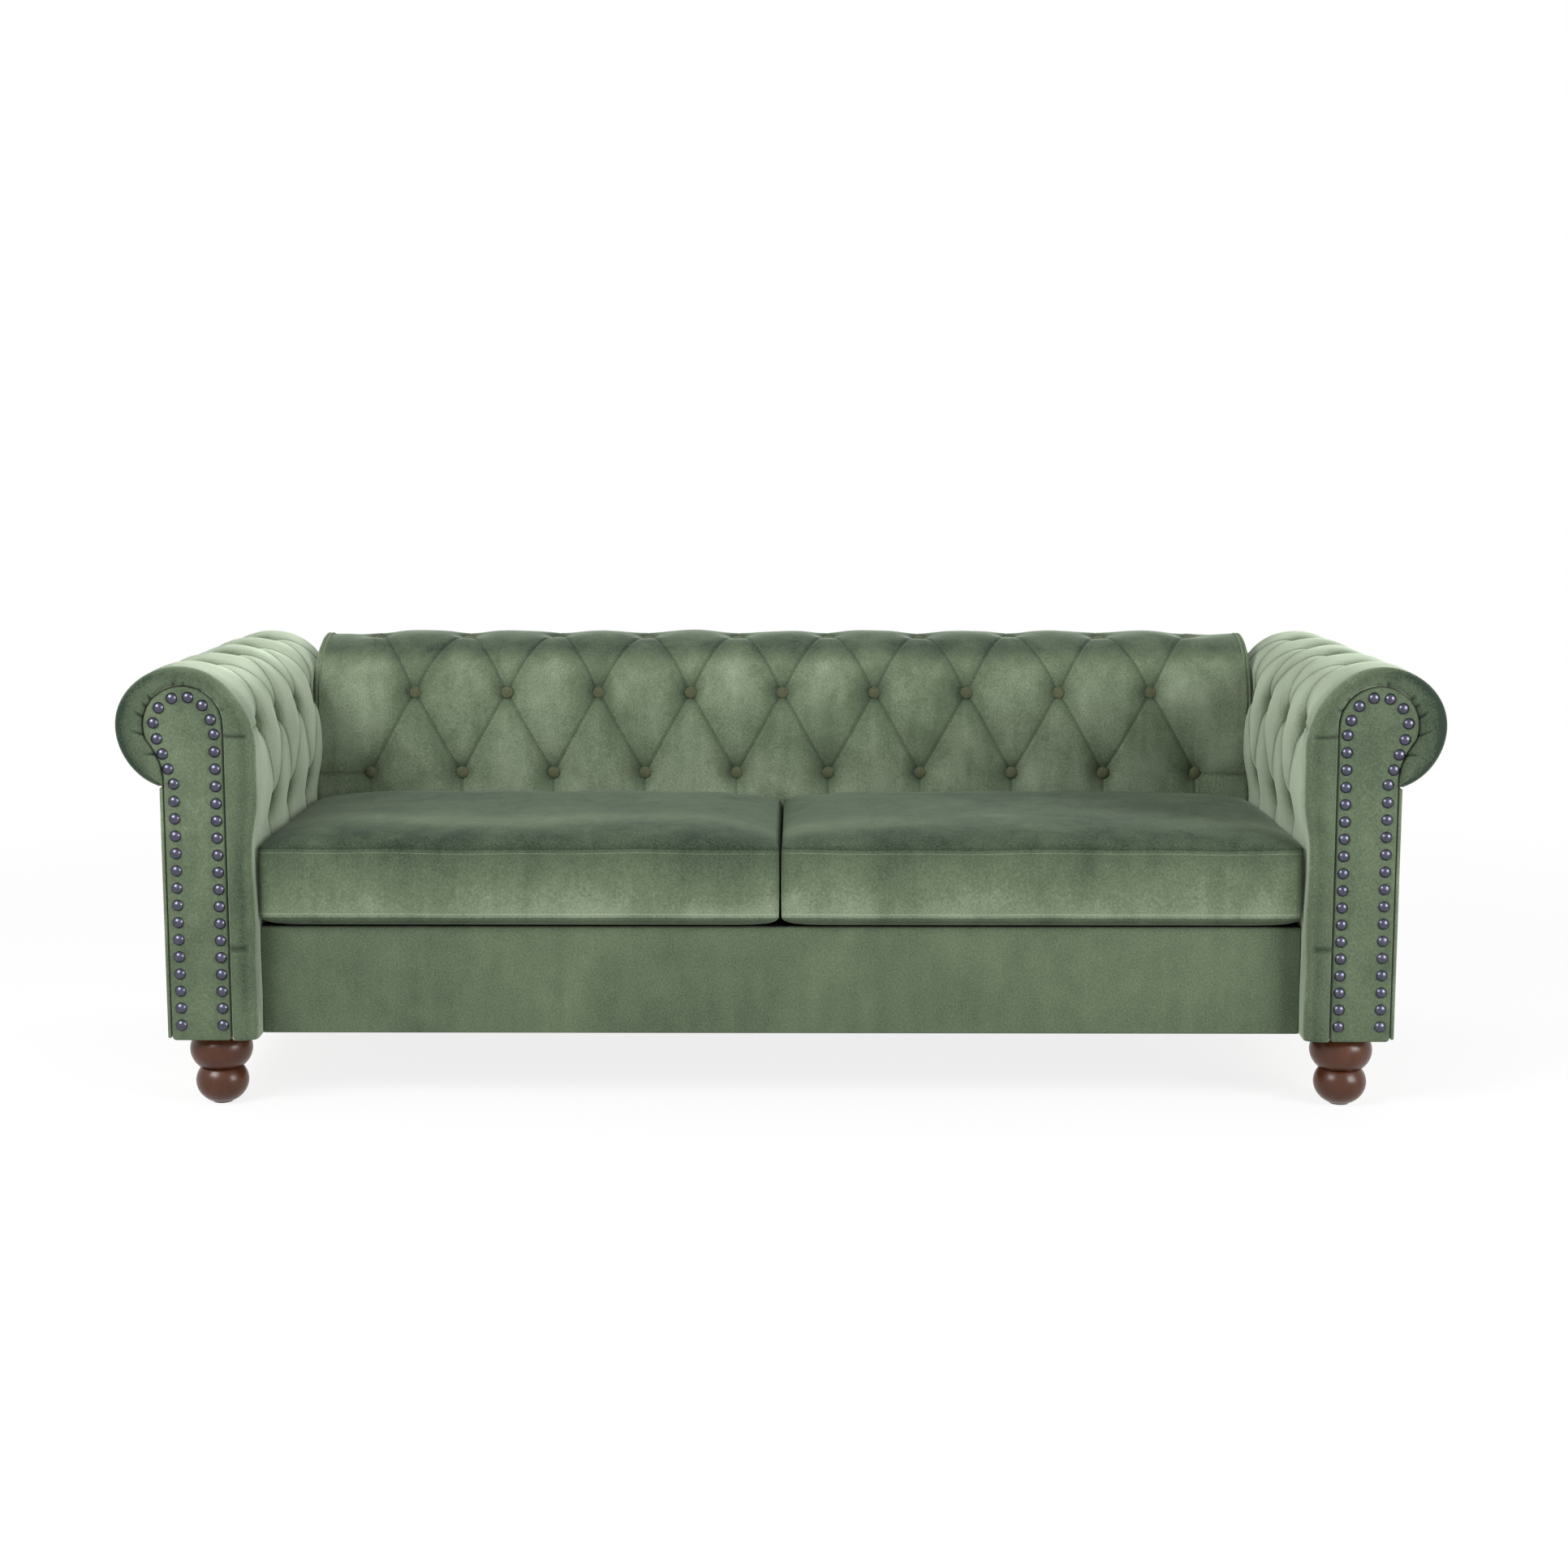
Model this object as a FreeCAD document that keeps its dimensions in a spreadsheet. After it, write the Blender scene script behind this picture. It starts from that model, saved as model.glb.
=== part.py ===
import FreeCAD, Part
import math
import os
import re

# Chesterfield sofa, two loose seat cushions, rolled arms, four turned feet.
# Frame: origin on the floor under the middle of the sofa, X to the right, front towards -Y, Z up.

Vector = FreeCAD.Vector
Placement = FreeCAD.Placement
Rotation = FreeCAD.Rotation

doc = FreeCAD.newDocument("sofa")

# Driving dimensions, in millimetres, and counts
DIMENSIONS = [
    ("seat_width", 1720.0),          # between the arms at the seat
    ("sofa_depth", 840.0),           # nail heads to the back of the roll
    ("sofa_height", 735.0),          # floor to the crest of the rolls
    ("foot_height", 120.0),          # floor to the underside of the frame
    ("seat_deck_height", 300.0),     # floor to the deck that the cushions lie on
    ("arm_width", 215.0),            # inner face of an arm to the outside of its roll
    ("roll_radius", 100.0),          # arm and back roll
    ("head_radius", 65.0),           # round head of the arm's front facing
    ("head_lift", 5.0),              # centre of the roll to the centre of that head
    ("core_depth", 100.0),           # inner to outer edge of an arm's or the back's frame
    ("arm_lining", 40.0),            # arm's inner face to its frame
    ("back_lining", 55.0),           # back's pleats to its frame
    ("back_roll_setback", 130.0),    # pleats of the back to the centre of its roll
    ("back_seat_fill", 18.0),        # pleats of the back to its face beside the cushions
    ("arm_rear_gap", 66.0),          # back roll's rear to the arm's rear face
    ("pleat_sink", 8.0),             # arm's inner face at the seat to its pleats
    ("puff_rise", 19.0),             # fullest point of a tuft above its pleats
    ("crest_sink", 19.0),            # crest of the roll to the buttons on it
    ("crest_setback", 12.0),         # buttons on the crest to the centre of the roll
    ("seat_line_rise", 136.0),       # deck to the foot of the tufts
    ("button_radius", 10.0),
    ("button_thickness", 7.0),
    ("back_button_count", 10.0),     # in the lower row of the back
    ("back_button_margin", 102.0),   # end of the back to its last button
    ("arm_button_count", 4.0),       # in the upper row of an arm
    ("arm_button_start", 95.0),      # facing plane to the first button of an arm
    ("arm_button_margin", 38.0),     # last button of an arm to the back's pleats
    ("nail_radius", 9.6),
    ("nail_rise", 6.0),
    ("nail_shank_radius", 1.0),
    ("nail_shank_length", 16.0),
    ("nail_pitch", 28.4),
    ("nail_inset", 18.0),            # outer edge of the facing to the line of nails
    ("inner_nail_inset", 14.0),      # inner edge of the facing to the line of nails
    ("lowest_nail_rise", 25.0),      # underside of the frame to the lowest nails
    ("facing_thickness", 10.0),
    ("board_thickness", 18.0),
    ("cover_thickness", 6.0),
    ("liner_thickness", 3.0),
    ("fit_gap", 0.3),                # between a soft or covered piece and its neighbour
    ("rail_setback", 50.0),          # facing plane to the front cover of the seat
    ("front_cover_thickness", 8.0),
    ("seat_rail_thickness", 25.0),
    ("seat_rail_drop", 20.0),        # deck to the top of the seat rails
    ("dust_cover_thickness", 1.0),
    ("cross_rail_height", 60.0),
    ("corner_block_size", 45.0),
    ("corner_block_height", 70.0),
    ("corner_block_lift", 10.0),     # underside of the seat rails to the corner blocks
    ("spring_count", 12.0),
    ("spring_wire_radius", 1.9),
    ("spring_half_width", 24.0),
    ("spring_bend_radius", 11.0),
    ("tie_wire_radius", 1.2),
    ("clip_height", 7.0),            # spring clip above the seat rails
    ("clip_width", 16.0),
    ("clip_depth", 12.0),
    ("felt_thickness", 4.0),
    ("cushion_setback", 30.0),       # facing plane to the front of the cushions
    ("cushion_rear_gap", 32.0),      # rear of the cushions to the back's pleats
    ("cushion_side_gap", 3.0),       # cushion to the arm, and half the gap between them
    ("cushion_boxing", 115.0),       # between the cushion's two seams
    ("cushion_under_crown", 18.0),
    ("cushion_crown", 30.0),
    ("cushion_draw", 5.0),           # how far the cushion's sides pull in between corners
    ("cushion_skin", 3.0),
    ("zip_length", 640.0),
    ("zip_height", 6.0),
    ("zip_slider_length", 12.0),
    ("zip_slider_height", 9.0),
    ("zip_slider_thickness", 4.0),
    ("zip_pull_length", 26.0),
    ("zip_pull_width", 5.0),
    ("zip_pull_thickness", 1.5),
    ("foot_inset", 65.0),            # facing plane, or the arm's rear, to the foot's centre
    ("foot_side_inset", 73.0),       # arm's inner face to the foot's centre
    ("upper_ball_radius", 51.5),
    ("upper_ball_height", 92.0),
    ("upper_ball_half_depth", 42.6),
    ("lower_ball_radius", 43.5),
    ("lower_ball_height", 37.0),
    ("lower_ball_half_depth", 38.5),
    ("glide_radius", 16.0),
    ("glide_thickness", 2.5),
    ("foot_bolt_radius", 4.0),
    ("foot_bolt_depth", 40.0),
    ("bolt_clearance", 0.1),
    ("base_board_thickness", 15.0),
    ("nut_radius", 6.0),
    ("frame_bolt_radius", 4.0),
    ("frame_bolt_head_radius", 9.0),
    ("frame_bolt_head_height", 4.0),
    ("frame_nut_length", 18.0),
    ("frame_bolt_rise", 90.0),       # underside of the frame to the bolts through its sides
    ("back_bolt_lift", 5.0),         # those bolts to the bolts through the rear rail
    ("frame_rail_width", 45.0),
]

sheet = doc.addObject("Spreadsheet::Sheet", "Sizes")
for row, (alias, value) in enumerate(DIMENSIONS, start=1):
    sheet.set("A%d" % row, alias)
    sheet.set("B%d" % row, repr(value))
    sheet.setAlias("B%d" % row, alias)
SIZE_NAMES = {alias for alias, value in DIMENSIONS}

# Places worked out from the driving dimensions: X of the left and right arms is measured
# outwards from the middle, and Y from the origin.
PLACES = [
    ("facing_y", "nail_rise - sofa_depth / 2"),
    ("arm_inner", "seat_width / 2"),
    ("arm_outer", "arm_inner + arm_width"),
    ("roll_x", "arm_outer - roll_radius"),
    ("roll_z", "sofa_height - roll_radius"),
    ("pleat_x", "arm_inner + pleat_sink"),
    ("core_x", "arm_inner + arm_lining"),
    ("core_outer_x", "core_x + core_depth"),
    ("head_x", "core_x + head_radius"),
    ("head_z", "roll_z + head_lift"),
    ("roll_y", "sofa_depth / 2 - roll_radius"),
    ("pleat_y", "roll_y - back_roll_setback"),
    ("core_y", "pleat_y + back_lining"),
    ("core_rear_y", "core_y + core_depth"),
    ("head_y", "core_y + head_radius"),
    ("arm_rear_y", "sofa_depth / 2 - arm_rear_gap"),
    ("seat_line_z", "seat_deck_height + seat_line_rise"),
    ("upper_row_z", "seat_line_z + 0.6555 * (sofa_height - seat_line_z)"),
    ("lower_row_z", "seat_line_z + 0.1472 * (sofa_height - seat_line_z)"),
    ("back_half", "arm_inner + pleat_sink - 1"),
    ("front_board_y", "facing_y + facing_thickness + fit_gap"),
    ("rear_board_y", "arm_rear_y - cover_thickness - fit_gap - board_thickness"),
    ("cover_x", "core_outer_x + fit_gap"),
    ("base_top_z", "foot_height + base_board_thickness"),
    ("seat_half", "arm_inner - fit_gap"),
    ("seat_front_y", "facing_y + rail_setback"),
    ("front_rail_y", "seat_front_y + front_cover_thickness + fit_gap"),
    ("seat_rear_y", "core_y - 2"),
    ("rear_rail_y", "seat_rear_y - seat_rail_thickness"),
    ("seat_bottom_z", "foot_height + dust_cover_thickness"),
    ("seat_rail_z", "seat_deck_height - seat_rail_drop"),
    ("bay_start_y", "front_rail_y + seat_rail_thickness"),
    ("spring_z", "seat_rail_z + spring_wire_radius + 0.5"),
    ("felt_z", "seat_rail_z + clip_height + fit_gap"),
    ("side_rail_x", "seat_half - seat_rail_thickness"),
    ("bolt_z", "foot_height + frame_bolt_rise"),
    ("foot_x", "arm_inner + foot_side_inset"),
    ("front_foot_y", "facing_y + foot_inset"),
    ("rear_foot_y", "arm_rear_y - foot_inset"),
    ("cushion_half", "(seat_width / 2 - 2 * cushion_side_gap) / 2"),
    ("cushion_x", "seat_width / 4"),
    ("cushion_front_y", "facing_y + cushion_setback"),
    ("cushion_rear_y", "pleat_y - cushion_rear_gap"),
    ("cushion_bottom_z", "seat_deck_height + fit_gap"),
    ("lower_seam_z", "cushion_bottom_z + cushion_under_crown"),
    ("upper_seam_z", "lower_seam_z + cushion_boxing"),
    ("zip_z", "(lower_seam_z + upper_seam_z) / 2"),
    ("back_bolt_y", "core_y + core_depth / 2"),
    ("back_bolt_z", "bolt_z + back_bolt_lift"),
]
PLACE_NAMES = {name for name, formula in PLACES}


def formula_text(text):
    """The formula with each name written as a cell of the sheet or a worked-out place."""
    def owner(match):
        word = match.group()
        if word in SIZE_NAMES:
            return "Sizes." + word
        return "Places." + word if word in PLACE_NAMES else word
    return re.sub(r"[a-z][a-z_]+", owner, text)


places = doc.addObject("App::VarSet", "Places")
for name, formula in PLACES:
    places.addProperty("App::PropertyFloat", name)
    places.setExpression(name, formula_text(formula))
doc.recompute()


def size(name):
    """A driving dimension or a worked-out place, as a number."""
    owner = sheet if name in SIZE_NAMES else places
    return float(getattr(owner, name))


def bind(item, **formulas):
    for field, text in formulas.items():
        item.setExpression(field.replace("_at_", ".Base."), formula_text(text))


def block(name, low, extent):
    """A rectangular piece: low corner and extent along X, Y and Z, as formulas."""
    item = doc.addObject("Part::Box", name)
    bind(item, Length=extent[0], Width=extent[1], Height=extent[2])
    bind(item, Placement_at_x=low[0], Placement_at_y=low[1], Placement_at_z=low[2])
    return item


TURNS = {
    "x": Rotation(Vector(0, 1, 0), 90),
    "y": Rotation(Vector(1, 0, 0), -90),
    "z": Rotation(),
}


def rod(name, axis, start, radius, length):
    """A round piece that runs along an axis from its start point, as formulas."""
    item = doc.addObject("Part::Cylinder", name)
    item.Placement = Placement(Vector(), TURNS[axis])
    bind(item, Radius=radius, Height=length)
    bind(item, Placement_at_x=start[0], Placement_at_y=start[1], Placement_at_z=start[2])
    return item


def group(name, items):
    item = doc.addObject("Part::Compound", name)
    item.Links = items
    return item


def cut(name, base, tools):
    item = doc.addObject("Part::Cut", name)
    item.Base = base
    item.Tool = tools[0] if len(tools) == 1 else group(name + "_tools", tools)
    return item


def fuse(name, items):
    item = doc.addObject("Part::MultiFuse", name)
    item.Shapes = items
    return item


def mirrored(name, source):
    """The same piece on the other side of the sofa's middle plane."""
    item = doc.addObject("Part::Mirroring", name)
    item.Source = source
    item.Normal = Vector(1, 0, 0)
    return item


def feature(name, shape):
    item = doc.addObject("Part::Feature", name)
    item.Shape = shape
    item.Placement = Placement()
    return item


nodes = []


def node(name, item):
    item.Label = name
    nodes.append(item)
    return item


def both_sides(pattern, item):
    """The left piece, modelled, and its mirror image on the right."""
    node(pattern % "left", item)
    node(pattern % "right", mirrored("mirror_" + pattern % "right", item))


# Frame profile shared by the arm boards, the facings and the back ribs: a straight post
# with a round head that overhangs it, joined by a concave flare.
def arc(start, middle, end):
    return Part.Arc(start, middle, end).toShape()


def line(start, end):
    return Part.LineSegment(start, end).toShape()


FLARE_ANGLE = math.radians(-20)


def core_points(inner, bottom, place, inset):
    """Corner points of the profile, from its inner edge outwards, as placed points."""
    radius = size("head_radius") - inset
    head = inner + size("head_radius")
    outer = inner + size("core_depth")
    edge = inner + inset
    top = size("head_z")
    flare_end = (head + radius * math.cos(FLARE_ANGLE), top + radius * math.sin(FLARE_ANGLE))
    shoulder = (outer, top - 1.25 * size("head_radius"))
    flare_middle = (
        0.5 * (flare_end[0] + shoulder[0]) - 0.04 * radius,
        0.5 * (flare_end[1] + shoulder[1]) + 0.02 * radius)
    quarter = math.radians(45)
    ring = [
        flare_end,
        (head + radius * math.cos(0.5 * quarter), top + radius * math.sin(0.5 * quarter)),
        (head, top + radius),
        (head - radius * math.cos(quarter), top + radius * math.sin(quarter)),
        (edge, top),
    ]
    straight = [(edge, bottom), (outer, bottom), shoulder, flare_middle]
    return [place(*point) for point in straight], [place(*point) for point in ring]


def core_edges(inner, bottom, place, inset):
    straight, ring = core_points(inner, bottom, place, inset)
    return [
        line(straight[0], straight[1]),
        line(straight[1], straight[2]),
        arc(straight[2], straight[3], ring[0]),
        arc(ring[0], ring[1], ring[2]),
        arc(ring[2], ring[3], ring[4]),
        line(ring[4], straight[0]),
    ]


def board(name, inner, bottom, role, length, place_formula, inset=0):
    """A body cut from sheet material: the profile sketched, then padded to a thickness."""
    body = doc.addObject("PartDesign::Body", name)
    plane = [part for part in body.Origin.OriginFeatures if part.Role == role][0]
    sketch = body.newObject("Sketcher::SketchObject", name + "_profile")
    sketch.AttachmentSupport = [(plane, "")]
    sketch.MapMode = "FlatFace"
    flat = lambda across, height: Vector(across, height, 0)
    for edge in core_edges(inner, bottom, flat, inset):
        curve = edge.Curve
        first, last = edge.ParameterRange
        if isinstance(curve, Part.Line):
            sketch.addGeometry(Part.LineSegment(edge.valueAt(first), edge.valueAt(last)))
        else:
            sketch.addGeometry(Part.Arc(
                edge.valueAt(first), edge.valueAt(0.5 * (first + last)), edge.valueAt(last)))
    pad = body.newObject("PartDesign::Pad", name + "_pad")
    pad.Profile = sketch
    bind(pad, Length=length)
    bind(body, **place_formula)
    return body


# Feet: two turned balls on one spindle, a nylon glide under each and a hanger bolt on top
def foot(name, side, y_place):
    x_place = "%s * foot_x" % side
    balls = []
    for ball in ("upper", "lower"):
        item = doc.addObject("Part::Ellipsoid", "%s_%s_ball" % (name, ball))
        bind(item, Radius1=ball + "_ball_half_depth", Radius2=ball + "_ball_radius",
             Radius3=ball + "_ball_radius")
        bind(item, Placement_at_x=x_place, Placement_at_y=y_place,
             Placement_at_z=ball + "_ball_height")
        balls.append(item)
    turned = fuse(name + "_turned", balls)
    span = block(
        name + "_span",
        (x_place + " - upper_ball_radius", y_place + " - upper_ball_radius", "glide_thickness"),
        ("2 * upper_ball_radius", "2 * upper_ball_radius", "foot_height - glide_thickness"))
    trimmed = doc.addObject("Part::Common", name + "_trimmed")
    trimmed.Base = turned
    trimmed.Tool = span
    bore = rod(
        name + "_bore", "z", (x_place, y_place, "foot_height - foot_bolt_depth"),
        "foot_bolt_radius + bolt_clearance", "foot_bolt_depth + 1")
    return cut(name, trimmed, [bore])


FEET = (
    ("front_left", "-1", "front_foot_y"),
    ("front_right", "1", "front_foot_y"),
    ("rear_left", "-1", "rear_foot_y"),
    ("rear_right", "1", "rear_foot_y"),
)
glides, foot_bolts, foot_nuts = [], [], []
for corner, side, y_place in FEET:
    node("foot_" + corner, foot("foot_" + corner, side, y_place))
    x_place = "%s * foot_x" % side
    glides.append(rod("glide_" + corner, "z", (x_place, y_place, "0"),
                      "glide_radius", "glide_thickness"))
    foot_bolts.append(rod(
        "hanger_" + corner, "z", (x_place, y_place, "foot_height - foot_bolt_depth + 1"),
        "foot_bolt_radius", "foot_bolt_depth - 1 + base_board_thickness - 2"))
    barrel = rod("barrel_" + corner, "z", (x_place, y_place, "foot_height"),
                 "nut_radius", "base_board_thickness")
    flange = rod("flange_" + corner, "z", (x_place, y_place, "base_top_z"),
                 "2 * nut_radius", "1.5")
    thread = rod("thread_" + corner, "z", (x_place, y_place, "foot_height - 1"),
                 "foot_bolt_radius + bolt_clearance", "base_board_thickness + 4")
    foot_nuts.append(cut("nut_" + corner, fuse("nut_blank_" + corner, [barrel, flange]),
                         [thread]))
node("foot_glides", group("glides", glides))
node("foot_bolts", group("hangers", foot_bolts))
node("foot_nuts", group("tee_nuts", foot_nuts))

# Nail heads: a line of domed tacks down both edges of each facing and round its head
doc.recompute()
LEFT = -1


def nail_points():
    """Centres of one facing's tacks, outwards from the middle of the sofa and up."""
    inset = size("nail_inset")
    pitch = size("nail_pitch")
    ring_radius = size("head_radius") - inset
    head_x, head_z = size("head_x"), size("head_z")
    lowest = size("foot_height") + size("lowest_nail_rise")
    inner = size("core_x") + size("inner_nail_inset")
    outer = size("core_outer_x") - inset
    inner_top = head_z - 0.5 * pitch
    outer_top = head_z - size("head_radius") - 30.0
    points = []
    for column, top in ((inner, inner_top), (outer, outer_top)):
        count = round((top - lowest) / pitch)
        step = (top - lowest) / count
        points += [(column, lowest + step * index) for index in range(count + 1)]
    ring_start, ring_end, ring_count = -27.0, 168.0, 7
    for index in range(ring_count):
        angle = math.radians(ring_start + (ring_end - ring_start) * index / (ring_count - 1))
        points.append((head_x + ring_radius * math.cos(angle),
                       head_z + ring_radius * math.sin(angle)))
    ring_low = (head_x + ring_radius * math.cos(math.radians(ring_start)),
                head_z + ring_radius * math.sin(math.radians(ring_start)))
    for share in (1 / 3, 2 / 3):
        points.append((ring_low[0] + (outer - ring_low[0]) * share,
                       ring_low[1] + (outer_top - ring_low[1]) * share))
    return points


def nail(radius, rise, shank_radius, shank_length):
    """A domed tack whose head stands on the facing plane, its shank along +Y."""
    sphere_radius = (radius ** 2 + rise ** 2) / (2 * rise)
    rim = 0.6
    ball = Part.makeSphere(sphere_radius, Vector(0, sphere_radius - rise, 0))
    dome = ball.common(Part.makeCylinder(
        radius - rim * 0.2, rise, Vector(0, -rise, 0), Vector(0, 1, 0)))
    shank = Part.makeCylinder(shank_radius, shank_length, Vector(0, 0, 0), Vector(0, 1, 0))
    return dome.fuse(shank)


facing_y = size("facing_y")
tack = nail(size("nail_radius"), size("nail_rise"), size("nail_shank_radius"),
            size("nail_shank_length"))
left_tacks, tack_holes = [], []
for across, height in nail_points():
    spot = Vector(LEFT * across, facing_y, height)
    left_tacks.append(tack.translated(spot))
    tack_holes.append(Part.makeCylinder(
        size("nail_shank_radius") + 0.1, size("nail_shank_length") + 0.5, spot,
        Vector(0, 1, 0)))
both_sides("arm_%s_nailheads", feature("nailheads_shape", Part.makeCompound(left_tacks)))
holes = feature("tack_holes", Part.makeCompound(tack_holes))

# Facings: upholstered plywood keyholes that close the front of the arms
facing_blank = board(
    "facing_blank", size("core_x"), size("foot_height") + 2, "XZ_Plane",
    "facing_thickness", {"Placement_at_y": "facing_y + facing_thickness"})
both_sides("arm_%s_facing", cut("facing_left", mirrored("facing_side", facing_blank), [holes]))

# Arm boards: the two profiles that carry the arm's rails, liner and padding
front_blank = board(
    "front_board_blank", size("core_x"), size("foot_height"), "XZ_Plane",
    "board_thickness", {"Placement_at_y": "front_board_y + board_thickness"})
both_sides("arm_%s_front_board", cut(
    "front_board_left", mirrored("front_board_side", front_blank), [holes]))
rear_blank = board(
    "rear_board_blank", size("core_x"), size("foot_height"), "XZ_Plane",
    "board_thickness", {"Placement_at_y": "rear_board_y + board_thickness"})
both_sides("arm_%s_rear_board", mirrored("rear_board_left", rear_blank))

# Arm rails: solid timber between the two boards, in the roll's head and half way up
ARM_BAY = ("front_board_y + board_thickness", "rear_board_y - front_board_y - board_thickness")
arm_rails = [
    block("arm_rail_head", ("-head_x - 20", ARM_BAY[0], "head_z - frame_rail_width / 2"),
          ("head_radius - 5", ARM_BAY[1], "frame_rail_width")),
    block("arm_rail_waist",
          ("-core_outer_x + board_thickness", ARM_BAY[0], "seat_deck_height + 20"),
          ("core_depth - board_thickness - liner_thickness - 2 * fit_gap", ARM_BAY[1],
           "frame_rail_width")),
]
both_sides("arm_%s_rails", group("arm_rails", arm_rails))

# Arm base boards: the plywood floors of the arms, with the feet's tee nuts in them
base_blank = block(
    "base_blank",
    ("-core_outer_x + 1", ARM_BAY[0], "foot_height"),
    ("core_depth - 2", ARM_BAY[1], "base_board_thickness"))
base_holes = [
    rod("base_hole_" + place, "z", ("-foot_x", place, "foot_height - 1"),
        "nut_radius + bolt_clearance", "base_board_thickness + 2")
    for place in ("front_foot_y", "rear_foot_y")]
both_sides("arm_%s_base_board", cut("base_board_left", base_blank, base_holes))

# Mounting rails: timber on the inner side of the arms, where the seat and back bolt on
mount_blank = block(
    "mount_blank",
    ("-core_x + fit_gap", "front_rail_y", "foot_height + 2"),
    ("arm_lining - 2 * fit_gap", "arm_rear_y - cover_thickness - fit_gap - front_rail_y",
     "seat_rail_z - foot_height - 2"))
BOLT_PLACES = (
    "front_rail_y + 90",
    "(front_rail_y + seat_rear_y) / 2",
    "rear_rail_y - 90",
    "back_bolt_y",
)
mount_holes = [
    rod("mount_hole_%d" % index, "x", ("-core_x - 1", place, "bolt_z"),
        "nut_radius + bolt_clearance", "arm_lining + 2")
    for index, place in enumerate(BOLT_PLACES)]
both_sides("arm_%s_mounting_rail", cut("mounting_rail_left", mount_blank, mount_holes))


# Arm liners: hardboard bent over the boards, which carries the padding
def liner_shape(inner, low, place, direction):
    """The strip from the frame's foot up its inner edge and round its head."""
    radius = size("head_radius")
    thin = size("liner_thickness")
    head, top = inner + radius, size("head_z")

    def spot(reach, angle):
        turn = math.radians(angle)
        return place(head + reach * math.cos(turn), top + reach * math.sin(turn))

    angles = (180, 135, 90, 35, -20)
    outer = [spot(radius - 0.3, angle) for angle in angles]
    inside = [spot(radius - 0.3 - thin, angle) for angle in angles]
    foot_outer, foot_inner = place(inner + 0.3, low), place(inner + 0.3 + thin, low)
    edges = [
        line(foot_outer, outer[0]), arc(*outer[0:3]), arc(*outer[2:5]),
        line(outer[4], inside[4]), arc(*inside[4:1:-1]), arc(*inside[2::-1]),
        line(inside[0], foot_inner), line(foot_inner, foot_outer),
    ]
    return Part.Face(Part.Wire(edges)).extrude(direction)


bay_y = size("front_board_y") + size("board_thickness")
bay_length = size("rear_board_y") - bay_y
both_sides("arm_%s_liner", feature("arm_liner_shape", liner_shape(
    size("core_x"), size("base_top_z") + size("fit_gap"),
    lambda across, height: Vector(LEFT * across, bay_y, height), Vector(0, bay_length, 0))))

# Outer covers: velvet over hardboard on the outside of each arm, and a keyhole at its rear
outer_side = block(
    "outer_side",
    ("-cover_x - cover_thickness", "facing_y + 2", "foot_height + 2"),
    ("cover_thickness", "arm_rear_y - facing_y - 2",
     "roll_z - 0.96 * roll_radius - foot_height - 2"))
rear_cover_blank = board(
    "rear_cover_blank", size("core_x"), size("foot_height") + 2, "XZ_Plane",
    "cover_thickness", {"Placement_at_y": "arm_rear_y"})
both_sides("arm_%s_outer_cover", group(
    "outer_covers", [outer_side, mirrored("rear_cover_left", rear_cover_blank)]))


# Tufted padding. A section is a closed outline of straight runs and arcs. At a column of
# upper buttons the tuft below the button is full; at a column of lower buttons the tuft
# between the lower and the crest buttons is full. Columns alternate, so the corners of
# the sections meet along the diagonal pleats.
PLEAT_EASE = 6.0                # how far a pleat rises half way between its two buttons
CREST_PLEAT_EASE = 0.18         # the same for the pleats over the roll, as a share of it
TUFT_LIFT = 1.5                 # a tuft's height half way between the button columns
LOWER_TUFT_LIFT = 0.55          # the same for a tuft's part between a button and the roll
BUTTON_SEAT = 6.0


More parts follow.
